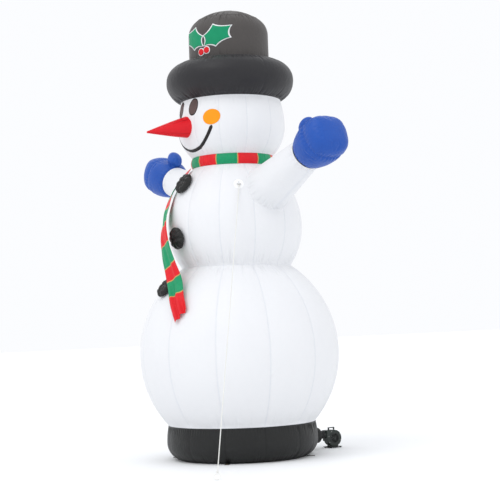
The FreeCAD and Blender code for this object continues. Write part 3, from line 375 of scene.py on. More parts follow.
def node_group(name, shape, **sizes):
    """Node group that changes a shape. Gives its tree, a thread in it and its inputs."""
    tree = bpy.data.node_groups.new(name, "GeometryNodeTree")
    tree.interface.new_socket(shape, in_out="INPUT", socket_type="NodeSocketGeometry")
    for title, start in sizes.items():
        tree.interface.new_socket(title, in_out="INPUT",
                                  socket_type="NodeSocketFloat").default_value = start
    tree.interface.new_socket("finish", in_out="INPUT", socket_type="NodeSocketMaterial")
    tree.interface.new_socket(shape, in_out="OUTPUT", socket_type="NodeSocketGeometry")
    thread = Thread(tree)
    given = thread.node("NodeGroupInput").socket.node
    return tree, thread, {entry.name: Thread(tree, entry) for entry in given.outputs}


def feed(piece, tree, finish, **sizes):
    """Run a node group on a piece and fix what it gives as the piece's own mesh."""
    step = piece.modifiers.new(tree.name, "NODES")
    step.node_group = tree
    values = {name: float(value) for name, value in sizes.items()}
    values["finish"] = finish
    for entry in tree.interface.items_tree:
        if entry.in_out == "INPUT" and entry.name in values:
            step[entry.identifier] = values[entry.name]
    return made_plain(piece)


sewing, t, size = node_group("gores and gathers", "cloth", gores=GORES, first_seam=FIRST_SEAM,
                             lobe_depth=0.014, pleats=110, low_depth=0.012, low_reach=0.16,
                             high_depth=0.012, high_reach=0.16, slack=0.004, seed=1)
turn, low, high = (t.node("GeometryNodeInputNamedAttribute", {"Name": key}, out="Attribute",
                          data_type="FLOAT") for key in ("turn", "low", "high"))
spot = t.node("GeometryNodeInputPosition")
lobe = t.sum("ABSOLUTE", t.sum("SINE", (turn - size["first_seam"]) * size["gores"] * 0.5))
heading = t.node("ShaderNodeCombineXYZ", {0: t.sum("COSINE", turn) + size["seed"],
                                          1: t.sum("SINE", turn), 2: size["seed"]})
wander, vigour = t.noise(heading, 5, 2), t.noise(heading, 16, 2)
pleat = t.sum("SINE", turn * size["pleats"] + wander * 26.0) * 0.5 + 0.5
vigour = t.sum("MINIMUM", t.sum("MAXIMUM", (vigour - 0.3) * 2.6, 0.12), 1.3)
depth = size["lobe_depth"] * (1 - lobe ** 0.6)
cross_ripple = t.noise(spot, 13, 2, 0.6) - 0.35
depth = depth + size["lobe_depth"] * cross_ripple * (1 - lobe) ** 3 * 1.4
depth = depth + size["slack"] * t.noise(spot, 3.2, 2, 1.0)
for run, key in ((low, "low"), (high, "high")):
    share = run / (size[key + "_reach"] * (vigour * 0.7 + 0.3))
    swell = share * 3.0 * t.sum("EXPONENT", 1 - share * 3.0)
    depth = depth + size[key + "_depth"] * pleat * vigour * swell
for run in (low, high):
    depth = depth * t.sum("MINIMUM", run / 0.03, 1.0)
outward = t.node("GeometryNodeInputNormal")
shift = t.node("ShaderNodeVectorMath", {0: outward, "Scale": depth * -1.0}, operation="SCALE")
cloth = t.node("GeometryNodeSetPosition", {"Geometry": size["cloth"], "Offset": shift})
line = t.sum("EXPONENT", (lobe / 0.05) ** 2.0 * -1.0) * t.sum("GREATER_THAN", size["gores"], 0.5)
cloth = t.node("GeometryNodeStoreNamedAttribute", {"Geometry": cloth, "Name": "seam",
                                                   "Value": line},
               data_type="FLOAT", domain="POINT")
cloth = t.node("GeometryNodeRealizeInstances", {"Geometry": cloth})
cloth = t.node("GeometryNodeSetMaterial", {"Geometry": cloth, "Material": size["finish"]})
t.node("NodeGroupOutput", {0: cloth})


def made_plain(piece):
    """Fix what the modifiers give as the piece's own mesh."""
    bpy.context.view_layer.update()
    graph = bpy.context.evaluated_depsgraph_get()
    plain = bpy.data.meshes.new_from_object(piece.evaluated_get(graph), depsgraph=graph,
                                            preserve_all_data_layers=True)
    piece.modifiers.clear()
    piece.data = plain
    return piece


def sew(piece, finish, body, slot, *replaced, **sizes):
    """Gather and seam a skin, then let it ride on its body."""
    feed(piece, sewing, finish, **sizes)
    return settle(piece, body, slot, *replaced)


seam_runs = {"white": [], "black": []}


def note_seams(piece, tone, rows, upright=True, ends=(0,)):
    """Keep the lines of a skin's seams, for the thread that is sewn along them."""
    spots = [v.co.copy() for v in piece.data.vertices]
    for row in ends:
        ring = spots[row * AROUND:(row + 1) * AROUND]
        seam_runs[tone].append(ring + ring[:1])
    if upright:
        for k in range(GORES):
            column = round((FIRST_SEAM / (2 * math.pi) + k / GORES) * AROUND) % AROUND
            seam_runs[tone].append([spots[row * AROUND + column] for row in range(rows + 1)])


black_nylon = coated_nylon("black nylon", (0.017, 0.018, 0.017), (0.006, 0.006, 0.007), 0.42, 0.5)
base_rings = [ring_of(*point) for point in seam_curve(
    (FLOOR_RADIUS, 0.003), (BASE_RADIUS, BASE_BELLY), (BASE_TOP_RADIUS, BASE_TOP), 60)]
base_skin = sew(skin("base_drum", base_rings), black_nylon, "snowman", "black_nylon", "base_wall",
                lobe_depth=0.004, pleats=150, low_depth=0.014, low_reach=0.17,
                high_depth=0.012, high_reach=0.12, slack=0.004, seed=3)
note_seams(base_skin, "black", 60, upright=False, ends=(1,))

# ---------------------------------------------------------------- balls of the body
# Two big balls of white coated nylon, each sewn from twelve upright gores that draw in along
# their seams, and gathered where one ball meets the next.
LOWER_RADIUS, LOWER_BELLY, WAIST_RADIUS, WAIST = 1.356, 1.400, 0.744, 2.580
MIDDLE_RADIUS, MIDDLE_BELLY, NECK_RADIUS, NECK_LOW = 0.918, 3.120, 0.548, 3.940
white_nylon = coated_nylon("white nylon", (0.80, 0.805, 0.82), (0.735, 0.745, 0.77), 0.46, 0.10,
                           (0.70, 0.715, 0.75))
lower_curve = seam_curve((BASE_TOP_RADIUS, BASE_TOP), (LOWER_RADIUS, LOWER_BELLY),
                         (WAIST_RADIUS, WAIST), 100)
lower_ball = sew(skin("lower_ball", [ring_of(*point) for point in lower_curve]), white_nylon,
                 "snowman", "white_nylon", "lower_body", lobe_depth=0.013, pleats=100,
                 low_depth=0.012, low_reach=0.20, high_depth=0.016, high_reach=0.24, seed=7)
note_seams(lower_ball, "white", 100)
middle_curve = seam_curve((WAIST_RADIUS, WAIST), (MIDDLE_RADIUS, MIDDLE_BELLY),
                          (NECK_RADIUS, NECK_LOW), 80)
middle_ball = sew(skin("middle_ball", [ring_of(*point) for point in middle_curve]), white_nylon,
                  "snowman", "white_nylon", "middle_body", lobe_depth=0.010, pleats=84,
                  low_depth=0.014, low_reach=0.20, high_depth=0.010, high_reach=0.16, seed=11)
note_seams(middle_ball, "white", 80)

# ---------------------------------------------------------------- head and face
# A white ball like those below, with eyes, cheeks and a smile of printed nylon sewn on, and a
# hollow red carrot nose sewn to the front.
NECK_HIGH, HEAD_RADIUS, HEAD_BELLY, HAT_RADIUS, HAT_SEAM = 4.085, 0.736, 4.510, 0.685, 4.850
head_curve = seam_curve((NECK_RADIUS, NECK_HIGH), (HEAD_RADIUS, HEAD_BELLY),
                        (HAT_RADIUS, HAT_SEAM), 60)
head_ball = sew(skin("head_ball", [ring_of(*point) for point in head_curve]), white_nylon,
                "snowman", "white_nylon", "head", lobe_depth=0.008, pleats=84, low_depth=0.010,
                low_reach=0.14, high_depth=0.010, high_reach=0.12, slack=0.003, seed=5)
note_seams(head_ball, "white", 60)


def skin_tree(piece):
    """Search tree for laying patches on a finished skin."""
    return BVHTree.FromPolygons([v.co for v in piece.data.vertices],
                                [list(p.vertices) for p in piece.data.polygons])


def lay(name, rows, tree, turn, height, finish, slot, *replaced, wrap=True, lift=0.0022,
        body="snowman"):
    """Sew a patch on a skin. Its rows hold (x, y, share of the lift), x level and y up from the
    patch's middle; they run round it if wrap is true. A note says how near each point is to
    the patch's edge."""
    turn = math.radians(turn)
    outward = Vector((math.sin(turn), -math.cos(turn), 0))
    level = Vector((math.cos(turn), math.sin(turn), 0))
    width = len(rows[0])
    points, edge = [], []
    for j, row in enumerate(rows):
        for x, y, share in row:
            start = level * x + up * (height + y)
            hit, normal = tree.ray_cast(start, outward)[:2]
            if hit is None:
                hit, normal = tree.find_nearest(start + outward)[:2]
            points.append(hit + normal * (lift * share))
            edge.append(j / (len(rows) - 1))
    count = width if wrap else width - 1
    faces = [(j * width + i, (j + 1) * width + i, (j + 1) * width + (i + 1) % width,
              j * width + (i + 1) % width)
             for j in range(len(rows) - 1) for i in range(count)]
    data = bpy.data.meshes.new(name)
    data.from_pydata(points, [], faces)
    data.attributes.new("edge", "FLOAT", "POINT").data.foreach_set("value", edge)
    data.materials.append(finish)
    mesh = bmesh.new()
    mesh.from_mesh(data)
    bmesh.ops.remove_doubles(mesh, verts=mesh.verts, dist=0.0001)
    mesh.to_mesh(data)
    mesh.free()
    data.shade_smooth()
    return add_piece(name, data, body, slot, *replaced)


def filled(outline, rings=10):
    """Rows from the middle of an outline out to its edge, then down to the skin."""
    shares = [k / rings for k in range(rings + 1)]
    middle = (sum(x for x, _ in outline) / len(outline), sum(y for _, y in outline) / len(outline))
    rows = [[(middle[0] + (x - middle[0]) * share, middle[1] + (y - middle[1]) * share, 1.0)
             for x, y in outline] for share in shares]
    return rows + [[(x, y, -1.0) for x, y in outline]]


def oval(width, tall, lean, points=72):
    lean = math.radians(lean)
    return [(width / 2 * math.cos(a) * math.cos(lean) - tall / 2 * math.sin(a) * math.sin(lean),
             width / 2 * math.cos(a) * math.sin(lean) + tall / 2 * math.sin(a) * math.cos(lean))
            for a in (2 * math.pi * k / points for k in range(points))]


def printed_cloth(name, fill, shade, outline, outline_from):
    """Printed patch: a clouded colour with a stitched outline of its own colour, which on the tether
    patches is also painted shade.
    """
    cloth, t, place = bare_material(name)
    edge = t.node("ShaderNodeAttribute", out="Fac", attribute_name="edge")
    clouds = t.noise(place, 9, 3)
    inside = t.blend(clouds * 0.6, (*fill, 1), (*shade, 1))
    colour = t.blend(t.sum("GREATER_THAN", edge, outline_from), inside, (*outline, 1))
    stitch = t.sum("SINE", t.noise(place, 120, 1) * 20.0)
    surface(t, colour, 0.5 + clouds * 0.15, stitch * 0.2 + clouds, 0.15, 0.004,
            Sheen_Weight=0.02)
    return cloth


eye_cloth = printed_cloth("eye print", (0.115, 0.072, 0.068), (0.07, 0.045, 0.043),
                          (0.008, 0.007, 0.008), 0.80)
cheek_cloth = printed_cloth("cheek print", (1.0, 0.33, 0.004), (0.93, 0.26, 0.0),
                            (0.30, 0.11, 0.01), 0.91)
smile_cloth = printed_cloth("smile print", (0.010, 0.009, 0.010), (0.02, 0.017, 0.018),
                            (0.010, 0.009, 0.010), 2.0)
head_tree = skin_tree(head_ball)
for name, way in (("left", 1), ("right", -1)):
    lay(f"{name}_eye_patch", filled(oval(0.170, 0.235, -8 * way)), head_tree, 13 * way, 4.728,
        eye_cloth, "face_brown", f"{name}_eye")
    lay(f"{name}_cheek_patch", filled(oval(0.248, 0.206, 8 * way)), head_tree, 37 * way, 4.560,
        cheek_cloth, "cheek_orange", f"{name}_cheek")

SMILE_HALF, SMILE_TOP, SMILE_LOW, SMILE_THICK = 0.440, 4.450, 4.160, 0.036
# place across the line, and share of the lift there
SMILE_SECTION = ((-0.5, -1.0), (-0.5, 0.8), (-0.2, 1.0), (0.2, 1.0), (0.5, 0.8), (0.5, -1.0))
drop = SMILE_TOP - SMILE_LOW
smile_bend = (SMILE_HALF ** 2 + drop ** 2) / (2 * drop)
smile_reach = math.asin(SMILE_HALF / smile_bend)
smile_rows = []
for k in range(121):
    a = smile_reach * (k / 60 - 1)
    row = []
    thick = SMILE_THICK * min(1.0, math.sqrt(max(0.02, min(k, 120 - k) / 3)))
    for across, share in SMILE_SECTION:
        bend = smile_bend + across * thick
        row.append((bend * math.sin(a), SMILE_LOW + smile_bend - bend * math.cos(a), share))
    smile_rows.append(row[::-1])
lay("smile_patch", smile_rows, head_tree, 0, 0.0, smile_cloth, "face_brown", "mouth", wrap=False,
    lift=0.0035)

# carrot nose: a cone of red nylon with four seams, its root shaped to the head
red_nylon = coated_nylon("red nylon", (0.80, 0.006, 0.016), (0.52, 0.003, 0.010), 0.40, 0.35)


def curve_radius(curve, height):
    """Radius of a seam curve at a height."""
    for (r0, z0), (r1, z1) in zip(curve, curve[1:]):
        if z0 <= height <= z1:
            return r0 + (r1 - r0) * (height - z0) / (z1 - z0)
    return 0.0


def cone_rings(start, axis, radius_at, length, ball, rows, around, sink=0.02):
    """Rings along an axis, the first one lying where the cone leaves a ball."""
    first = (up - axis * up.dot(axis)).normalized()
    second = axis.cross(first)
    columns = []
    for k in range(around):
        a = 2 * math.pi * k / around
        out = first * math.cos(a) + second * math.sin(a)
        near, far = -0.3, length * 0.7
        for _ in range(30):
            middle = (near + far) / 2
            spot = start + axis * middle + out * radius_at(middle)
            if math.hypot(spot.x, spot.y) < curve_radius(ball, spot.z):
                near = middle
            else:
                far = middle
        root = near - sink
        runs = [root + (length - root) * j / rows for j in range(rows + 1)]
        columns.append([start + axis * run + out * radius_at(run) for run in runs])
    return [[column[j] for column in columns] for j in range(rows + 1)]


NOSE_RADIUS, NOSE_TIP, NOSE_LENGTH, NOSE_DROOP = 0.160, 0.013, 0.690, math.radians(9)
nose_axis = Vector((0, -math.cos(NOSE_DROOP), -math.sin(NOSE_DROOP)))
nose_root = Vector((0, -0.640, 4.486))


def nose_radius(run):
    share = min(1.0, max(-0.3, run / NOSE_LENGTH))
    return NOSE_RADIUS * (1 - share) + NOSE_TIP * share + 0.007 * math.sin(math.pi * max(0, share))


nose_rings = cone_rings(nose_root, nose_axis, nose_radius, NOSE_LENGTH - 0.006, head_curve, 60, 120)
nose_rings.append([nose_root + nose_axis * (NOSE_LENGTH - 0.001)
                   + (spot - nose_root - nose_axis * (NOSE_LENGTH - 0.006)) * 0.6
                   for spot in nose_rings[-1]])
sew(skin("carrot_nose", nose_rings, tip=nose_root + nose_axis * NOSE_LENGTH), red_nylon, "snowman",
    "red_nylon", "nose", gores=4, first_seam=math.radians(45), lobe_depth=0.004, pleats=26,
    low_depth=0.009, low_reach=0.16, high_depth=0.0, high_reach=0.2, slack=0.004, seed=9)

# ---------------------------------------------------------------- arms
# Two tapered sleeves of white nylon, raised from the middle ball and gathered into it.
SHOULDER, ARM_RISE, WRIST_REACH = Vector((0.700, 0.055, 3.550)), math.radians(21), 1.700
ARM_ROOT, WRIST = 0.332, 0.222
ARM_LENGTH = (WRIST_REACH - SHOULDER.x) / math.cos(ARM_RISE)
arm_frames = {}
for name, way in (("left", 1), ("right", -1)):
    start = Vector((SHOULDER.x * way, SHOULDER.y, SHOULDER.z))
    axis = Vector((way * math.cos(ARM_RISE), 0, math.sin(ARM_RISE)))
    first = (up - axis * up.dot(axis)).normalized()
    arm_frames[name] = (start, axis, first, axis.cross(first))
    rings = cone_rings(start, axis, lambda run: ARM_ROOT + (WRIST - ARM_ROOT) * run / ARM_LENGTH,
                       ARM_LENGTH + 0.004, middle_curve, 60, 240)
    sew(skin(f"{name}_sleeve", rings), white_nylon, "snowman", "white_nylon", f"{name}_arm",
        gores=1, first_seam=math.pi, lobe_depth=0.006, pleats=36, low_depth=0.016,
        low_reach=0.20, high_depth=0.012, high_reach=0.14, slack=0.006, seed=13 + way)

# ---------------------------------------------------------------- mittens
# Royal blue fists of coated nylon with a thumb, blown up through the sleeves. A seam runs
# round the knuckles, and its gathers pucker both sides.
blue_nylon = coated_nylon("blue nylon", (0.016, 0.100, 0.46), (0.006, 0.046, 0.29), 0.38, 0.5)
FIST = ((0.0, 0.224), (0.06, 0.250), (0.14, 0.272), (0.22, 0.287), (0.32, 0.295), (0.44, 0.288),
        (0.53, 0.268), (0.58, 0.238), (0.605, 0.190), (0.613, 0.120), (0.616, 0.040))
THUMB_ALONG, THUMB_OUT, THUMB_RADIUS, THUMB_HALF = 0.150, 0.270, 0.100, 0.150
KNUCKLES, THUMB_LEAN = 0.37, math.radians(20)
FIST_END, FIST_ROWS, FIST_COLUMNS, FIST_VOXEL = 0.616, 40, 96, 0.013


def between(table, run):
    for (r0, v0), (r1, v1) in zip(table, table[1:]):
        if run <= r1:
            return v0 + (v1 - v0) * (run - r0) / (r1 - r0)
    return table[-1][1]


def blow_up(piece, held, cap, pressure=4.0, grow=0.03):
    """Swell a closed piece with cloth pressure while its seams are held, and keep every point
    within a distance of where it started."""
    seams = piece.vertex_groups.new(name="seams")
    seams.add(held, 1.0, "REPLACE")
    air = piece.modifiers.new("air", "CLOTH")
    air.settings.quality = 5
    air.settings.mass = 0.15
    air.settings.use_pressure = True
    air.settings.uniform_pressure_force = pressure
    air.settings.vertex_group_mass = "seams"
    air.settings.shrink_min = -grow
    air.settings.bending_stiffness = 0.3
    air.settings.effector_weights.gravity = 0
    air.collision_settings.use_collision = False
    start = [v.co.copy() for v in piece.data.vertices]
    for step in range(1, 21):
        bpy.context.scene.frame_set(step)
    graph = bpy.context.evaluated_depsgraph_get()
    blown = piece.evaluated_get(graph).to_mesh()
    ends = [v.co.copy() for v in blown.vertices]
    piece.evaluated_get(graph).to_mesh_clear()
    piece.modifiers.remove(air)
    piece.vertex_groups.remove(seams)
    for vertex, old, new in zip(piece.data.vertices, start, ends):
        moved = new - old
        vertex.co = old + moved * min(1.0, cap / max(moved.length, 1e-9))
    bpy.context.scene.frame_set(1)


def padded_piece(piece, finish, slot, replaced):
    """Finish of a swollen piece, once its mesh is final."""
    piece.data.materials.clear()
    piece.data.materials.append(finish)
    piece.data.shade_smooth()
    settle(piece, "snowman", slot, replaced)


def made_finer(piece):
    fine = piece.modifiers.new("finer", "SUBSURF")
    fine.levels = fine.render_levels = 1
    return made_plain(piece)


def joined_by_voxels(piece, voxel):
    step = piece.modifiers.new("remesh", "REMESH")
    step.mode = "VOXEL"
    step.voxel_size = voxel
    even = piece.modifiers.new("even out", "SMOOTH")
    even.factor = 0.5
    even.iterations = 6
    return made_plain(piece)


def pucker(piece, run_of, around_of, seam_at, count, deep, reach):
    """Short gathers each side of a seam that runs round a piece."""
    normals = [v.normal.copy() for v in piece.data.vertices]
    for vertex, normal in zip(piece.data.vertices, normals):
        away = abs(run_of(vertex.co) - seam_at) / reach
        angle = around_of(vertex.co)
        fold = 0.5 + 0.5 * math.sin(count * angle + 3 * noise.noise(Vector((math.cos(angle) * 3,
                                                                         math.sin(angle) * 3, 0))))
        share = away * 2.7 * math.exp(1 - away * 2.7)
        crease = math.exp(-(away * 5) ** 2)
        vertex.co -= normal * (deep * fold * share + deep * 0.9 * crease)


for name, way in (("left", 1), ("right", -1)):
    start, axis, first, second = arm_frames[name]
    cuff = start + axis * ARM_LENGTH
    mesh = bmesh.new()
    rows = []
    for run in (FIST_END * k / FIST_ROWS for k in range(FIST_ROWS + 1)):
        boxy = 2.0 + 2.2 * min(1.0, run / 0.4)
        row = []
        for k in range(FIST_COLUMNS):
            a = 2 * math.pi * k / FIST_COLUMNS
            c, s = math.cos(a), math.sin(a)
            square = (abs(c) ** boxy + abs(s) ** boxy) ** (-1 / boxy)
            slim = 0.08 * max(0.0, c) ** 2
            spread = between(FIST, run) * (0.5 + 0.5 * square) * (0.96 - slim)
            row.append(mesh.verts.new(cuff + axis * run + (first * c + second * s) * spread))
        rows.append(row)
    for low_row, high_row in zip(rows, rows[1:]):
        for k in range(FIST_COLUMNS):
            after = (k + 1) % FIST_COLUMNS
            mesh.faces.new((low_row[k], low_row[after], high_row[after], high_row[k]))
    mesh.faces.new(rows[0][::-1])
    mesh.faces.new(rows[-1])
    thumb = bmesh.ops.create_icosphere(mesh, subdivisions=4, radius=1.0)["verts"]
    thumb_long = axis * math.cos(THUMB_LEAN) + first * math.sin(THUMB_LEAN)
    thumb_up = first * math.cos(THUMB_LEAN) - axis * math.sin(THUMB_LEAN)
    thumb_middle = cuff + axis * (THUMB_ALONG - 0.02) + first * (THUMB_OUT + 0.040)
    for vertex in thumb:
        x, y, z = vertex.co
        vertex.co = thumb_middle + (thumb_long * (x * THUMB_HALF) + thumb_up * (y * THUMB_RADIUS)
                                    + second * (z * THUMB_RADIUS)) * 0.96
    bmesh.ops.recalc_face_normals(mesh, faces=mesh.faces)
    data = bpy.data.meshes.new(f"{name}_fist")
    mesh.to_mesh(data)
    mesh.free()
    fist = linked(f"{name}_fist", data)
    joined_by_voxels(fist, FIST_VOXEL)

    def run_of(spot):
        return (spot - cuff).dot(axis) + 0.035 * (spot - cuff).dot(first) / 0.3

    def around_of(spot):
        return math.atan2((spot - cuff).dot(second), (spot - cuff).dot(first))

    held = [v.index for v in fist.data.vertices
            if abs(run_of(v.co) - KNUCKLES) < 0.009 or (v.co - cuff).dot(axis) < 0.02]
    blow_up(fist, held, 0.022)
    made_finer(fist)
    pucker(fist, run_of, around_of, KNUCKLES, 34, 0.007, 0.055)
    pucker(fist, lambda spot: (spot - cuff).dot(axis), around_of, 0.0, 30, 0.006, 0.06)
    padded_piece(fist, blue_nylon, "blue_nylon", f"{name}_mitten")

# ---------------------------------------------------------------- hat
# Top hat of charcoal nylon: a fat round brim, an upright crown, and a domed top whose edge is
# drawn into close pleats.
BRIM_RADIUS, BRIM_BELLY, CROWN_RADIUS, CROWN_LOW = 0.880, 5.130, 0.551, 5.385
CROWN_SHOULDER, TOP_SEAM_RADIUS, TOP_SEAM, HAT_TOP = 5.765, 0.420, 5.990, 6.120
hat_nylon = coated_nylon("charcoal nylon", (0.080, 0.072, 0.069), (0.052, 0.048, 0.046), 0.42, 0.45)
brim_nylon = coated_nylon("brim nylon", (0.026, 0.025, 0.028), (0.013, 0.013, 0.015), 0.40, 0.45)
brim_curve = seam_curve((HAT_RADIUS, HAT_SEAM), (BRIM_RADIUS, BRIM_BELLY),
                        (CROWN_RADIUS, CROWN_LOW), 72)
brim = sew(skin("brim_roll", [ring_of(*point) for point in brim_curve]), brim_nylon, "snowman",
           "hat_nylon", "hat_brim", gores=0, lobe_depth=0.0, pleats=96, low_depth=0.014,
           low_reach=0.14, high_depth=0.016, high_reach=0.15, slack=0.010, seed=21)
crown_curve = [(CROWN_RADIUS, CROWN_LOW + (CROWN_SHOULDER - CROWN_LOW) * k / 24) for k in range(24)]
crown_curve += seam_curve((CROWN_RADIUS - 0.00001, CROWN_SHOULDER - 0.0001),
                          (CROWN_RADIUS, CROWN_SHOULDER), (TOP_SEAM_RADIUS, TOP_SEAM), 20)[1:]
crown_skin = sew(skin("crown_wall", [ring_of(*point) for point in crown_curve]), hat_nylon,
                 "snowman", "hat_nylon", "hat_crown", gores=0, lobe_depth=0.0, pleats=84,
                 low_depth=0.012, low_reach=0.10, high_depth=0.018, high_reach=0.17,
                 slack=0.006, seed=23)
dome_bend = (TOP_SEAM_RADIUS ** 2 + (HAT_TOP - TOP_SEAM) ** 2) / (2 * (HAT_TOP - TOP_SEAM))
dome_reach = math.asin(TOP_SEAM_RADIUS / dome_bend)
dome_curve = [(dome_bend * math.sin(a), HAT_TOP - dome_bend + dome_bend * math.cos(a))
              for a in (dome_reach * (1 - k / 31) for k in range(31))]
dome = sew(skin("crown_top", [ring_of(*point) for point in dome_curve],
                tip=Vector((0, 0, HAT_TOP - 0.004))), hat_nylon, "snowman", "hat_nylon", "hat_top",
           gores=0, lobe_depth=0.0, pleats=72, low_depth=0.018, low_reach=0.17, high_depth=0.0,
           slack=0.008, seed=25)
note_seams(brim, "black", 72, upright=False)
note_seams(crown_skin, "black", 24, upright=False)
note_seams(dome, "black", 30, upright=False)

# ---------------------------------------------------------------- holly on the hat
# Two spiny leaves and two berries of printed nylon, each on a white backing that shows as a
# border, sewn to the front of the crown.
HOLLY_TURN, HOLLY_HEIGHT, LEAF_LENGTH, LEAF_HALF, LEAF_SPACE = 20, 5.680, 0.365, 0.150, 0.014
BORDER, BERRY = 0.020, 0.042
LEAF = ((0.0, -0.77), (0.49, -0.90), (0.97, -0.23), (1.0, 0.83), (0.39, 1.0), (0.0, 0.13))


def leaf_outline(way, border):
    """Spiny leaf beside the badge's middle, its edges hollow between the spines."""
    reach = LEAF_LENGTH - LEAF_SPACE
    middle = Vector((way * (LEAF_SPACE + reach / 2), 0))
    ring = []
    for share_x, share_y in LEAF:
        spine = Vector((way * (LEAF_SPACE + share_x * reach), share_y * LEAF_HALF))
        ring.append(spine + (spine - middle).normalized() * border)
    outline = []
    for near, far in zip(ring, ring[1:] + ring[:1]):
        bow = (near + far) / 2
        pull = bow + (middle - bow) * 0.28
        for k in range(10):
            s = k / 10
            outline.append(tuple(near * (1 - s) ** 2 + pull * (2 * s * (1 - s)) + far * s * s))
    return outline if way > 0 else outline[::-1]


berries = ((-1.05 * BERRY, -1.30 * LEAF_HALF), (1.15 * BERRY, -1.20 * LEAF_HALF))


def berry_outline(spot, radius):
    return [(spot[0] + x, spot[1] + y) for x, y in oval(radius * 2, radius * 2, 0, 40)]


def joined(name, parts, slot, *replaced):
    """One piece from several that ride together."""
    mesh = bmesh.new()
    finish = parts[0].data.materials[0]
    for part in parts:
        mesh.from_mesh(part.data)
        old = part.data
        bpy.data.objects.remove(part)
        bpy.data.meshes.remove(old)
    data = bpy.data.meshes.new(name)
    mesh.to_mesh(data)
    mesh.free()
    data.materials.append(finish)
    return add_piece(name, data, "snowman", slot, *replaced)


crown_tree = skin_tree(crown_skin)
border_cloth = printed_cloth("holly border", (0.86, 0.87, 0.88), (0.74, 0.76, 0.78),
                             (0.86, 0.87, 0.88), 2.0)
leaf_cloth = printed_cloth("holly leaf", (0.0, 0.30, 0.135), (0.0, 0.19, 0.085),
                           (0.0, 0.30, 0.135), 2.0)
berry_cloth = printed_cloth("holly berry", (0.80, 0.008, 0.015), (0.55, 0.004, 0.010),
                            (0.80, 0.008, 0.015), 2.0)
layers = (
    ("holly_backing", border_cloth, "white_nylon", "holly_border", 0.003,
     [leaf_outline(way, BORDER) for way in (-1, 1)]
     + [berry_outline(spot, BERRY + BORDER * 0.6) for spot in berries]),
    ("holly_leaf_pair", leaf_cloth, "green_nylon", "holly_leaves", 0.0055,
     [leaf_outline(way, 0.0) for way in (-1, 1)]),
    ("holly_berry_pair", berry_cloth, "red_nylon", "holly_berries", 0.0085,
     [berry_outline(spot, BERRY) for spot in berries]))
for name, cloth, slot, replaced, lift, outlines in layers:
    parts = [lay(f"{name}_{k}", filled(outline), crown_tree, HOLLY_TURN, HOLLY_HEIGHT, cloth, slot,
                 lift=lift) for k, outline in enumerate(outlines)]
    joined(name, parts, slot, replaced)

# ---------------------------------------------------------------- scarf
# A striped band of red and green nylon sewn round the neck, and one loose tail of the same
# stripes that hangs from it down the front. Gold thread covers each join.
scarf_red, scarf_green = (0.80, 0.010, 0.018, 1), (0.006, 0.33, 0.135, 1)
gold = (0.55, 0.33, 0.10, 1)


def scarf_cloth(name, stripes_of, joins_of):
    """Nylon stripes: a mask that is 1 where the cloth is green, and one for its gold joins."""
    cloth, t, place = bare_material(name)
    folds = t.noise(place, 14, 3, 1.2)
    red = t.blend(folds * 0.7, scarf_red, (0.50, 0.004, 0.010, 1))
    green = t.blend(folds * 0.7, scarf_green, (0.0, 0.19, 0.085, 1))
    colour = t.blend(joins_of(t, place), t.blend(stripes_of(t, place), red, green), gold)
    surface(t, colour, 0.42 + folds * 0.15, folds + t.noise(place, 700, 1) * 0.03, 0.35, 0.010,
            Sheen_Weight=0.02)
    return cloth


def turn_in_panels(t, place):
    """Direction round the neck, counted in panels of thirty degrees from a join."""
    apart = t.node("ShaderNodeSeparateXYZ", {0: place}, out=0)
    x, y = apart, Thread(t.tree, apart.socket.node.outputs[1])
    return (t.sum("ARCTAN2", x, y * -1.0) - math.radians(5)) / math.radians(30) + 24.0


def round_green(t, place):
    half = turn_in_panels(t, place) * 0.5
    return t.sum("GREATER_THAN", t.sum("FRACT", half), 0.5)


def round_joins(t, place):
    part = t.sum("FRACT", turn_in_panels(t, place) + 0.5)
    return t.sum("LESS_THAN", t.sum("ABSOLUTE", part - 0.5), 0.022)


collar_rings = []
for k in range(31):
    share = k / 30
    bulge = 0.0035 + 0.027 * math.sin(math.pi * share) ** 0.7
    collar_rings.append(ring_of(NECK_RADIUS + bulge, NECK_LOW + 0.0005
                                + (NECK_HIGH - NECK_LOW - 0.001) * share))
sew(skin("collar_band", collar_rings), scarf_cloth("collar stripes", round_green, round_joins),
    "snowman", "scarf_fabric", "scarf_collar", gores=12, first_seam=math.radians(5),
    lobe_depth=0.004, pleats=70, low_depth=0.006, low_reach=0.07, high_depth=0.006,
    high_reach=0.07, slack=0.004, seed=31)

TAIL_WIDTH = 0.280
TAIL = ((-14, 0.616, 3.902, 46), (-22, 0.710, 3.800, 38), (-26, 0.850, 3.590, 26),
        (-19, 0.944, 3.350, 12), (-9, 1.048, 3.100, 0), (-3, 1.070, 2.840, 0),
        (4, 1.078, 2.590, 4), (11, 1.102, 2.350, 30), (18, 1.219, 2.120, 30),
        (24, 1.317, 1.905, 22))
TAIL_JOINS = (3.760, 3.534, 3.376, 3.139, 2.890, 2.612, 2.430, 2.215)
tail_spots, tail_faces = [], []
for turn_deg, reach, height, tilt in TAIL:
    a, lean = math.radians(turn_deg), math.radians(tilt)
    tail_spots.append(Vector((reach * math.sin(a), -reach * math.cos(a), height)))
    tail_faces.append(Vector((math.sin(a) * math.cos(lean), -math.cos(a) * math.cos(lean),
                              math.sin(lean))))


def smooth_between(values, place):
    """Smooth curve through a row of vectors."""
    i = min(int(place), len(values) - 2)
    s = place - i
    before, a, b, after = (values[max(i - 1, 0)], values[i], values[i + 1],
                           values[min(i + 2, len(values) - 1)])
    return (a * 2 + (b - before) * s + (before * 2 - a * 5 + b * 4 - after) * s * s
            + (a * 3 - before - b * 3 + after) * s ** 3) * 0.5


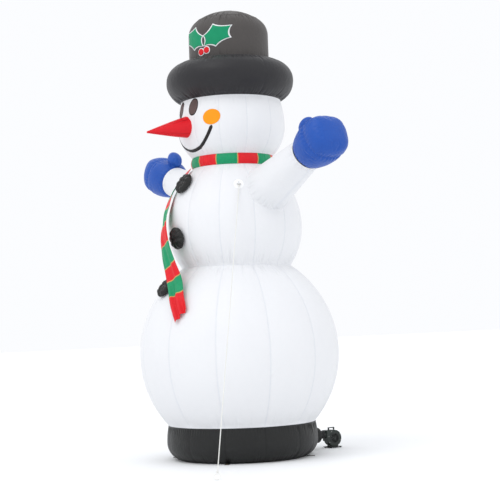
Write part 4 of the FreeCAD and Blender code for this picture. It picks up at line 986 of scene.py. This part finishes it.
TAIL_ROWS, TAIL_COLUMNS = 240, 18
route = [smooth_between(tail_spots, (len(TAIL) - 1) * j / TAIL_ROWS) for j in range(TAIL_ROWS + 1)]
runs = [0.0]
for near, far in zip(route, route[1:]):
    runs.append(runs[-1] + (far - near).length)
tail_points, tail_runs = [], []
for j in range(TAIL_ROWS + 1):
    along_tail = (route[min(j + 1, TAIL_ROWS)] - route[max(j - 1, 0)]).normalized()
    face = smooth_between(tail_faces, (len(TAIL) - 1) * j / TAIL_ROWS).normalized()
    across_tail = face.cross(along_tail).normalized()
    face = along_tail.cross(across_tail).normalized()
    gather = min(1.0, 0.80 + runs[j] * 0.8)
    low_share = min(1.0, max(0.0, (1.0 - (runs[-1] - runs[j])) / 1.0))
    gather *= 1 - 0.22 * low_share
    free = min(1.0, max(0.0, (runs[j] - 0.25) / 0.5))
    for k in range(TAIL_COLUMNS + 1):
        v = k / TAIL_COLUMNS * 2 - 1
        ripple = noise.noise(Vector((runs[j] * 2.2, v * 0.9, 4))) * 0.022
        fold = 0.007 * math.sin(v * 5.2 + runs[j] * 3.1) + 0.004 * math.sin(v * 9 - runs[j] * 5)
        curl = 0.010 * v * v * math.sin(runs[j] * 4.6)
        hem = 0.045 * (v + 1) * max(0.0, (runs[j] - runs[-1] + 0.25) / 0.25)
        deep = 0.016 * low_share * math.sin(v * 7.5 + 0.6)
        lift = 0.004 + (ripple + fold + curl + deep) * (0.25 + 0.75 * free)
        spread = v * TAIL_WIDTH / 2 * gather * (1 - abs(fold) * 2)
        tail_points.append(route[j] + across_tail * spread + face * lift - along_tail * hem)
        tail_runs.append(route[j].z)
wide = TAIL_COLUMNS + 1
data = bpy.data.meshes.new("scarf_strip")
data.from_pydata(tail_points, [], [(j * wide + k, j * wide + k + 1, (j + 1) * wide + k + 1,
                                    (j + 1) * wide + k)
                                   for j in range(TAIL_ROWS) for k in range(TAIL_COLUMNS)])
data.attributes.new("level", "FLOAT", "POINT").data.foreach_set("value", tail_runs)


def tail_level(t):
    return t.node("ShaderNodeAttribute", out="Fac", attribute_name="level")


def tail_green(t, place):
    """Green between every second pair of joins."""
    green = t.sum("LESS_THAN", tail_level(t), TAIL_JOINS[0])
    for k, join in enumerate(TAIL_JOINS[1:]):
        below = t.sum("LESS_THAN", tail_level(t), join)
        green = green + below * (-1.0 if k % 2 == 0 else 1.0)
    return green


def tail_gold(t, place):
    near = t.sum("LESS_THAN", t.sum("ABSOLUTE", tail_level(t) - TAIL_JOINS[0]), 0.006)
    for join in TAIL_JOINS[1:]:
        near = near + t.sum("LESS_THAN", t.sum("ABSOLUTE", tail_level(t) - join), 0.006)
    return near


data.materials.append(scarf_cloth("tail stripes", tail_green, tail_gold))
data.shade_smooth()
scarf_strip = add_piece("scarf_strip", data, "scarf_tail", "scarf_fabric", "scarf_tail")
hem = scarf_strip.modifiers.new("double cloth", "SOLIDIFY")
hem.thickness = 0.003
hem.offset = 0
made_plain(scarf_strip)

# ---------------------------------------------------------------- buttons
# Three padded discs of black nylon, quilted by seams that run from the middle to the rim, and
# sewn flat against the balls.
# radius and lift of the rings from a button's edge to its middle
BUTTON_OUTLINE = ((0.118, 0.0), (0.134, 0.006), (0.145, 0.018), (0.149, 0.036), (0.143, 0.054),
                  (0.131, 0.070), (0.116, 0.082), (0.099, 0.090), (0.080, 0.096), (0.060, 0.099),
                  (0.040, 0.099), (0.022, 0.095), (0.008, 0.090))
CHANNELS, BUTTON_COLUMNS, BUTTON_MIDDLE = 9, 120, 0.084
button_nylon = coated_nylon("button nylon", (0.020, 0.020, 0.019), (0.008, 0.008, 0.008), 0.38, 0.6,
                            (0.10, 0.10, 0.10))


def curve_tilt(curve, height):
    """Upward lean of a seam curve's surface at a height."""
    step = 0.02
    fall = curve_radius(curve, height + step) - curve_radius(curve, height - step)
    return math.atan2(-fall, 2 * step)


for name, curve, height, turn_deg in (("top", middle_curve, 3.690, 0),
                                      ("middle", middle_curve, 2.975, 2),
                                      ("bottom", lower_curve, 2.300, -5)):
    reach, tilt, a = curve_radius(curve, height), curve_tilt(curve, height), math.radians(turn_deg)
    outward = Vector((math.sin(a) * math.cos(tilt), -math.cos(a) * math.cos(tilt), math.sin(tilt)))
    level = Vector((math.cos(a), math.sin(a), 0))
    rise = outward.cross(level)
    middle = Vector((reach * math.sin(a), -reach * math.cos(a), height))
    rings = []
    for radius, lift in BUTTON_OUTLINE:
        ring = []
        for k in range(BUTTON_COLUMNS):
            b = 2 * math.pi * k / BUTTON_COLUMNS
            channel = 1 - abs(math.sin(CHANNELS / 2 * b)) ** 0.5
            spread = radius * (1 - 0.05 * channel * min(1, lift / 0.03))
            ring.append(middle + (level * math.cos(b) + rise * math.sin(b)) * spread
                        + outward * max(0.0, lift - 0.014 * channel * min(1, lift / 0.05)))
        rings.append(ring)
    pad = skin(f"{name}_button_pad", rings, tip=middle + outward * BUTTON_MIDDLE, foot=middle)
    count = len(rings) * BUTTON_COLUMNS
    held = [k for k in range(count) if k < 2 * BUTTON_COLUMNS or k >= count - BUTTON_COLUMNS
            or abs(math.sin(CHANNELS * math.pi * (k % BUTTON_COLUMNS) / BUTTON_COLUMNS)) < 0.12]
    held += [count, count + 1]
    blow_up(pad, held, 0.012, pressure=6.0, grow=0.06)
    made_finer(pad)
    padded_piece(pad, button_nylon, "hat_nylon", f"button_{name}")

# ---------------------------------------------------------------- seam thread
# Rows of thread that sew the gores and the balls together, one stitch after another.
stitching, t, size = node_group("stitches along seams", "seams", pitch=0.034,
                                stitch_length=0.022, thread=0.0013)
line = t.node("GeometryNodeMeshToCurve", {0: size["seams"]})
spaced = t.node("GeometryNodeResampleCurve", {"Curve": line, "Length": size["pitch"]},
                mode="LENGTH")
stitch = t.node("GeometryNodeMeshCylinder", {"Vertices": 5, "Radius": size["thread"],
                                             "Depth": size["stitch_length"]},
                fill_type="TRIANGLE_FAN")
heading = t.node("FunctionNodeAlignRotationToVector",
                 {"Vector": t.node("GeometryNodeInputTangent")}, axis="Z")
rows = t.node("GeometryNodeInstanceOnPoints", {"Points": spaced, "Instance": stitch,
                                               "Rotation": heading})
rows = t.node("GeometryNodeRealizeInstances", {0: rows})
rows = t.node("GeometryNodeSetMaterial", {0: rows, "Material": size["finish"]})
t.node("NodeGroupOutput", {0: rows})


def thread_finish(name, colour, shade):
    finish, t, place = bare_material(name)
    twist = t.noise(place, 260, 2)
    surface(t, t.blend(twist, (*colour, 1), (*shade, 1)), 0.75, twist, 0.3, 0.001)
    return finish


threads = {"white": thread_finish("white thread", (0.74, 0.77, 0.82), (0.60, 0.63, 0.69)),
           "black": thread_finish("black thread", (0.05, 0.05, 0.052), (0.025, 0.025, 0.026))}
for tone, seams in seam_runs.items():
    spots = [spot for seam in seams for spot in seam]
    edges, start = [], 0
    for seam in seams:
        edges += [(start + k, start + k + 1) for k in range(len(seam) - 1)]
        start += len(seam)
    data = bpy.data.meshes.new(f"{tone}_seam_thread")
    data.from_pydata(spots, edges, [])
    rows = feed(linked(f"{tone}_seam_thread", data), stitching, threads[tone])
    settle(rows, "snowman", f"{tone}_nylon")

# ---------------------------------------------------------------- tether points
# Round white patches sewn to the chest and back, each with a webbing tab that holds a nickel
# ring. The tabs and rings keep their designed shape.
# The tether patches' grey outline is their stitched rim, darkened further as painted shade where the
# patch's edge drops to the ball.
patch_cloth = printed_cloth("tether patch", (0.94, 0.945, 0.95), (0.90, 0.905, 0.91),
                            (0.62, 0.64, 0.67), 0.94)
middle_tree = skin_tree(middle_ball)
patches = [lay(f"tether_patch_{k}", filled(oval(0.132, 0.132, 0)), middle_tree, turn_deg, 3.640,
               patch_cloth, "white_nylon")
           for k, turn_deg in enumerate((63, -63, 180))]
joined("tether_patch_set", patches, "white_nylon", "tether_patches")


def wear(name, colour, shade, roughness, grain, relief, metallic=0.0, clear=0.0):
    """Hard finish with a fine grain, faint blotches and rubbed spots."""
    finish, t, place = bare_material(name)
    fine, blotch = t.noise(place, grain, 3), t.noise(place, 22, 4)
    colour = t.blend(blotch, (*colour, 1), (*shade, 1))
    surface(t, colour, roughness + fine * 0.12 + blotch * 0.10, fine, relief, 0.0006,
            Metallic=metallic, Coat_Weight=clear, Specular_IOR_Level=0.5)
    return finish


def woven(name, colour, shade):
    """Webbing: ribs both ways and a little fuzz."""
    finish, t, place = bare_material(name)
    apart = t.node("ShaderNodeSeparateXYZ", {0: place}).socket.node.outputs
    ribs = [t.sum("SINE", Thread(t.tree, side) * 1800.0) for side in apart]
    rib = ribs[0] * ribs[1] * 0.5 + ribs[2] * 0.5
    surface(t, t.blend(rib * 0.3 + t.noise(place, 60, 3) * 0.5, (*colour, 1), (*shade, 1)), 0.82,
            rib, 0.5, 0.0008)
    return finish


def dress(finish, *nodes):
    """Give designed pieces a finish without touching their shape."""
    for name in nodes:
        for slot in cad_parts[name].material_slots:
            slot.material = finish


white_web = woven("white webbing", (0.80, 0.81, 0.82), (0.62, 0.63, 0.65))
black_web = woven("black webbing", (0.030, 0.030, 0.031), (0.014, 0.014, 0.015))
nickel = wear("nickel wire", (0.66, 0.65, 0.63), (0.52, 0.51, 0.49), 0.18, 300, 0.1, metallic=1.0)
dress(white_web, "tether_tabs")
dress(nickel, "tether_ring_left", "tether_ring_right", "tether_ring_back")

# ---------------------------------------------------------------- anchors and floor disc
# Black webbing tabs under the foot of the base, each with a brass grommet for a stake, and the
# round nylon floor between them.
brass = wear("brass grommet", (0.66, 0.50, 0.20), (0.46, 0.34, 0.13), 0.26, 260, 0.15, metallic=1.0)
dress(black_web, "anchor_tabs")
dress(brass, "anchor_grommets")
dress(coated_nylon("floor nylon", (0.026, 0.026, 0.027), (0.012, 0.012, 0.013), 0.5, 0.3),
      "base_floor")
dress(white_nylon, "neck_band")

# ---------------------------------------------------------------- inflation sleeve
# Black nylon tube that leads from the blower into the back of the base, gathered on the
# blower's outlet and held there by a strap.
SLEEVE_RADIUS, SLEEVE_HEIGHT, SLEEVE_IN, SLEEVE_OUT = 0.118, 0.1925, 0.990, 1.345
CLAMP_RADIUS, CLAMP_LENGTH, TAPER_LENGTH = 0.0514, 0.050, 0.045
sleeve_rings = []
for k in range(61):
    y = SLEEVE_IN + (SLEEVE_OUT - SLEEVE_IN) * k / 60
    from_end = SLEEVE_OUT - y
    open_share = min(1.0, max(0.0, (from_end - CLAMP_LENGTH) / (TAPER_LENGTH * 1.3)))
    radius = CLAMP_RADIUS + (SLEEVE_RADIUS - CLAMP_RADIUS) * math.sin(open_share * math.pi / 2)
    radius -= 0.006 * math.sin(math.pi * k / 60) * open_share
    sleeve_rings.append([Vector((-radius * math.sin(a), y, SLEEVE_HEIGHT - radius * math.cos(a)))
                         for a in (2 * math.pi * j / 240 for j in range(240))])
sew(skin("air_sleeve", sleeve_rings), black_nylon, "snowman", "black_nylon", "inflation_sleeve",
    gores=1, first_seam=math.pi, lobe_depth=0.0015, pleats=40, low_depth=0.006, low_reach=0.10,
    high_depth=0.0, high_reach=0.3, slack=0.008, seed=41)
dress(black_web, "sleeve_strap")

# ---------------------------------------------------------------- blower
# Moulded dark green-black housing in two screwed halves with an intake grille, a motor behind
# it, a fan wheel on the shaft, a stand on rubber feet, a handle and a switch.
housing = wear("moulded housing", (0.014, 0.024, 0.019), (0.008, 0.013, 0.011), 0.38, 420, 0.25)
dress(housing, "intake_housing", "motor_housing", "outlet_spigot", "carry_handle")
dress(wear("grille moulding", (0.020, 0.024, 0.022), (0.010, 0.013, 0.012), 0.46, 420, 0.25),
      "intake_grille", "motor_cover", "blower_stand")
dress(wear("fan moulding", (0.055, 0.056, 0.058), (0.030, 0.031, 0.032), 0.45, 350, 0.2),
      "impeller")
dress(wear("switch moulding", (0.020, 0.020, 0.021), (0.011, 0.011, 0.012), 0.40, 420, 0.2),
      "switch_box", "cable_gland", "lamp_holders")
dress(wear("rocker moulding", (0.50, 0.012, 0.012), (0.34, 0.008, 0.008), 0.25, 300, 0.1, clear=0.3),
      "switch_rocker")
dress(wear("motor paint", (0.10, 0.10, 0.105), (0.06, 0.06, 0.065), 0.42, 240, 0.2, clear=0.2),
      "motor")
dress(wear("turned steel", (0.56, 0.55, 0.54), (0.42, 0.41, 0.40), 0.24, 500, 0.2, metallic=1.0),
      "motor_shaft", "housing_screws")
dress(wear("foot rubber", (0.020, 0.020, 0.020), (0.032, 0.031, 0.030), 0.78, 180, 0.5),
      "rubber_feet")

# ---------------------------------------------------------------- zip and inside lights
# A deflation zip on the back of the base, and a strap of frosted lamps hung inside.
dress(black_web, "zip_tape", "light_strap")
dress(wear("zip metal", (0.09, 0.09, 0.095), (0.20, 0.19, 0.18), 0.35, 300, 0.2, metallic=0.8),
      "zip_slider", "zip_pull")
dress(wear("frosted lamp", (0.90, 0.89, 0.84), (0.80, 0.79, 0.73), 0.35, 200, 0.1, clear=0.4),
      "lamps")
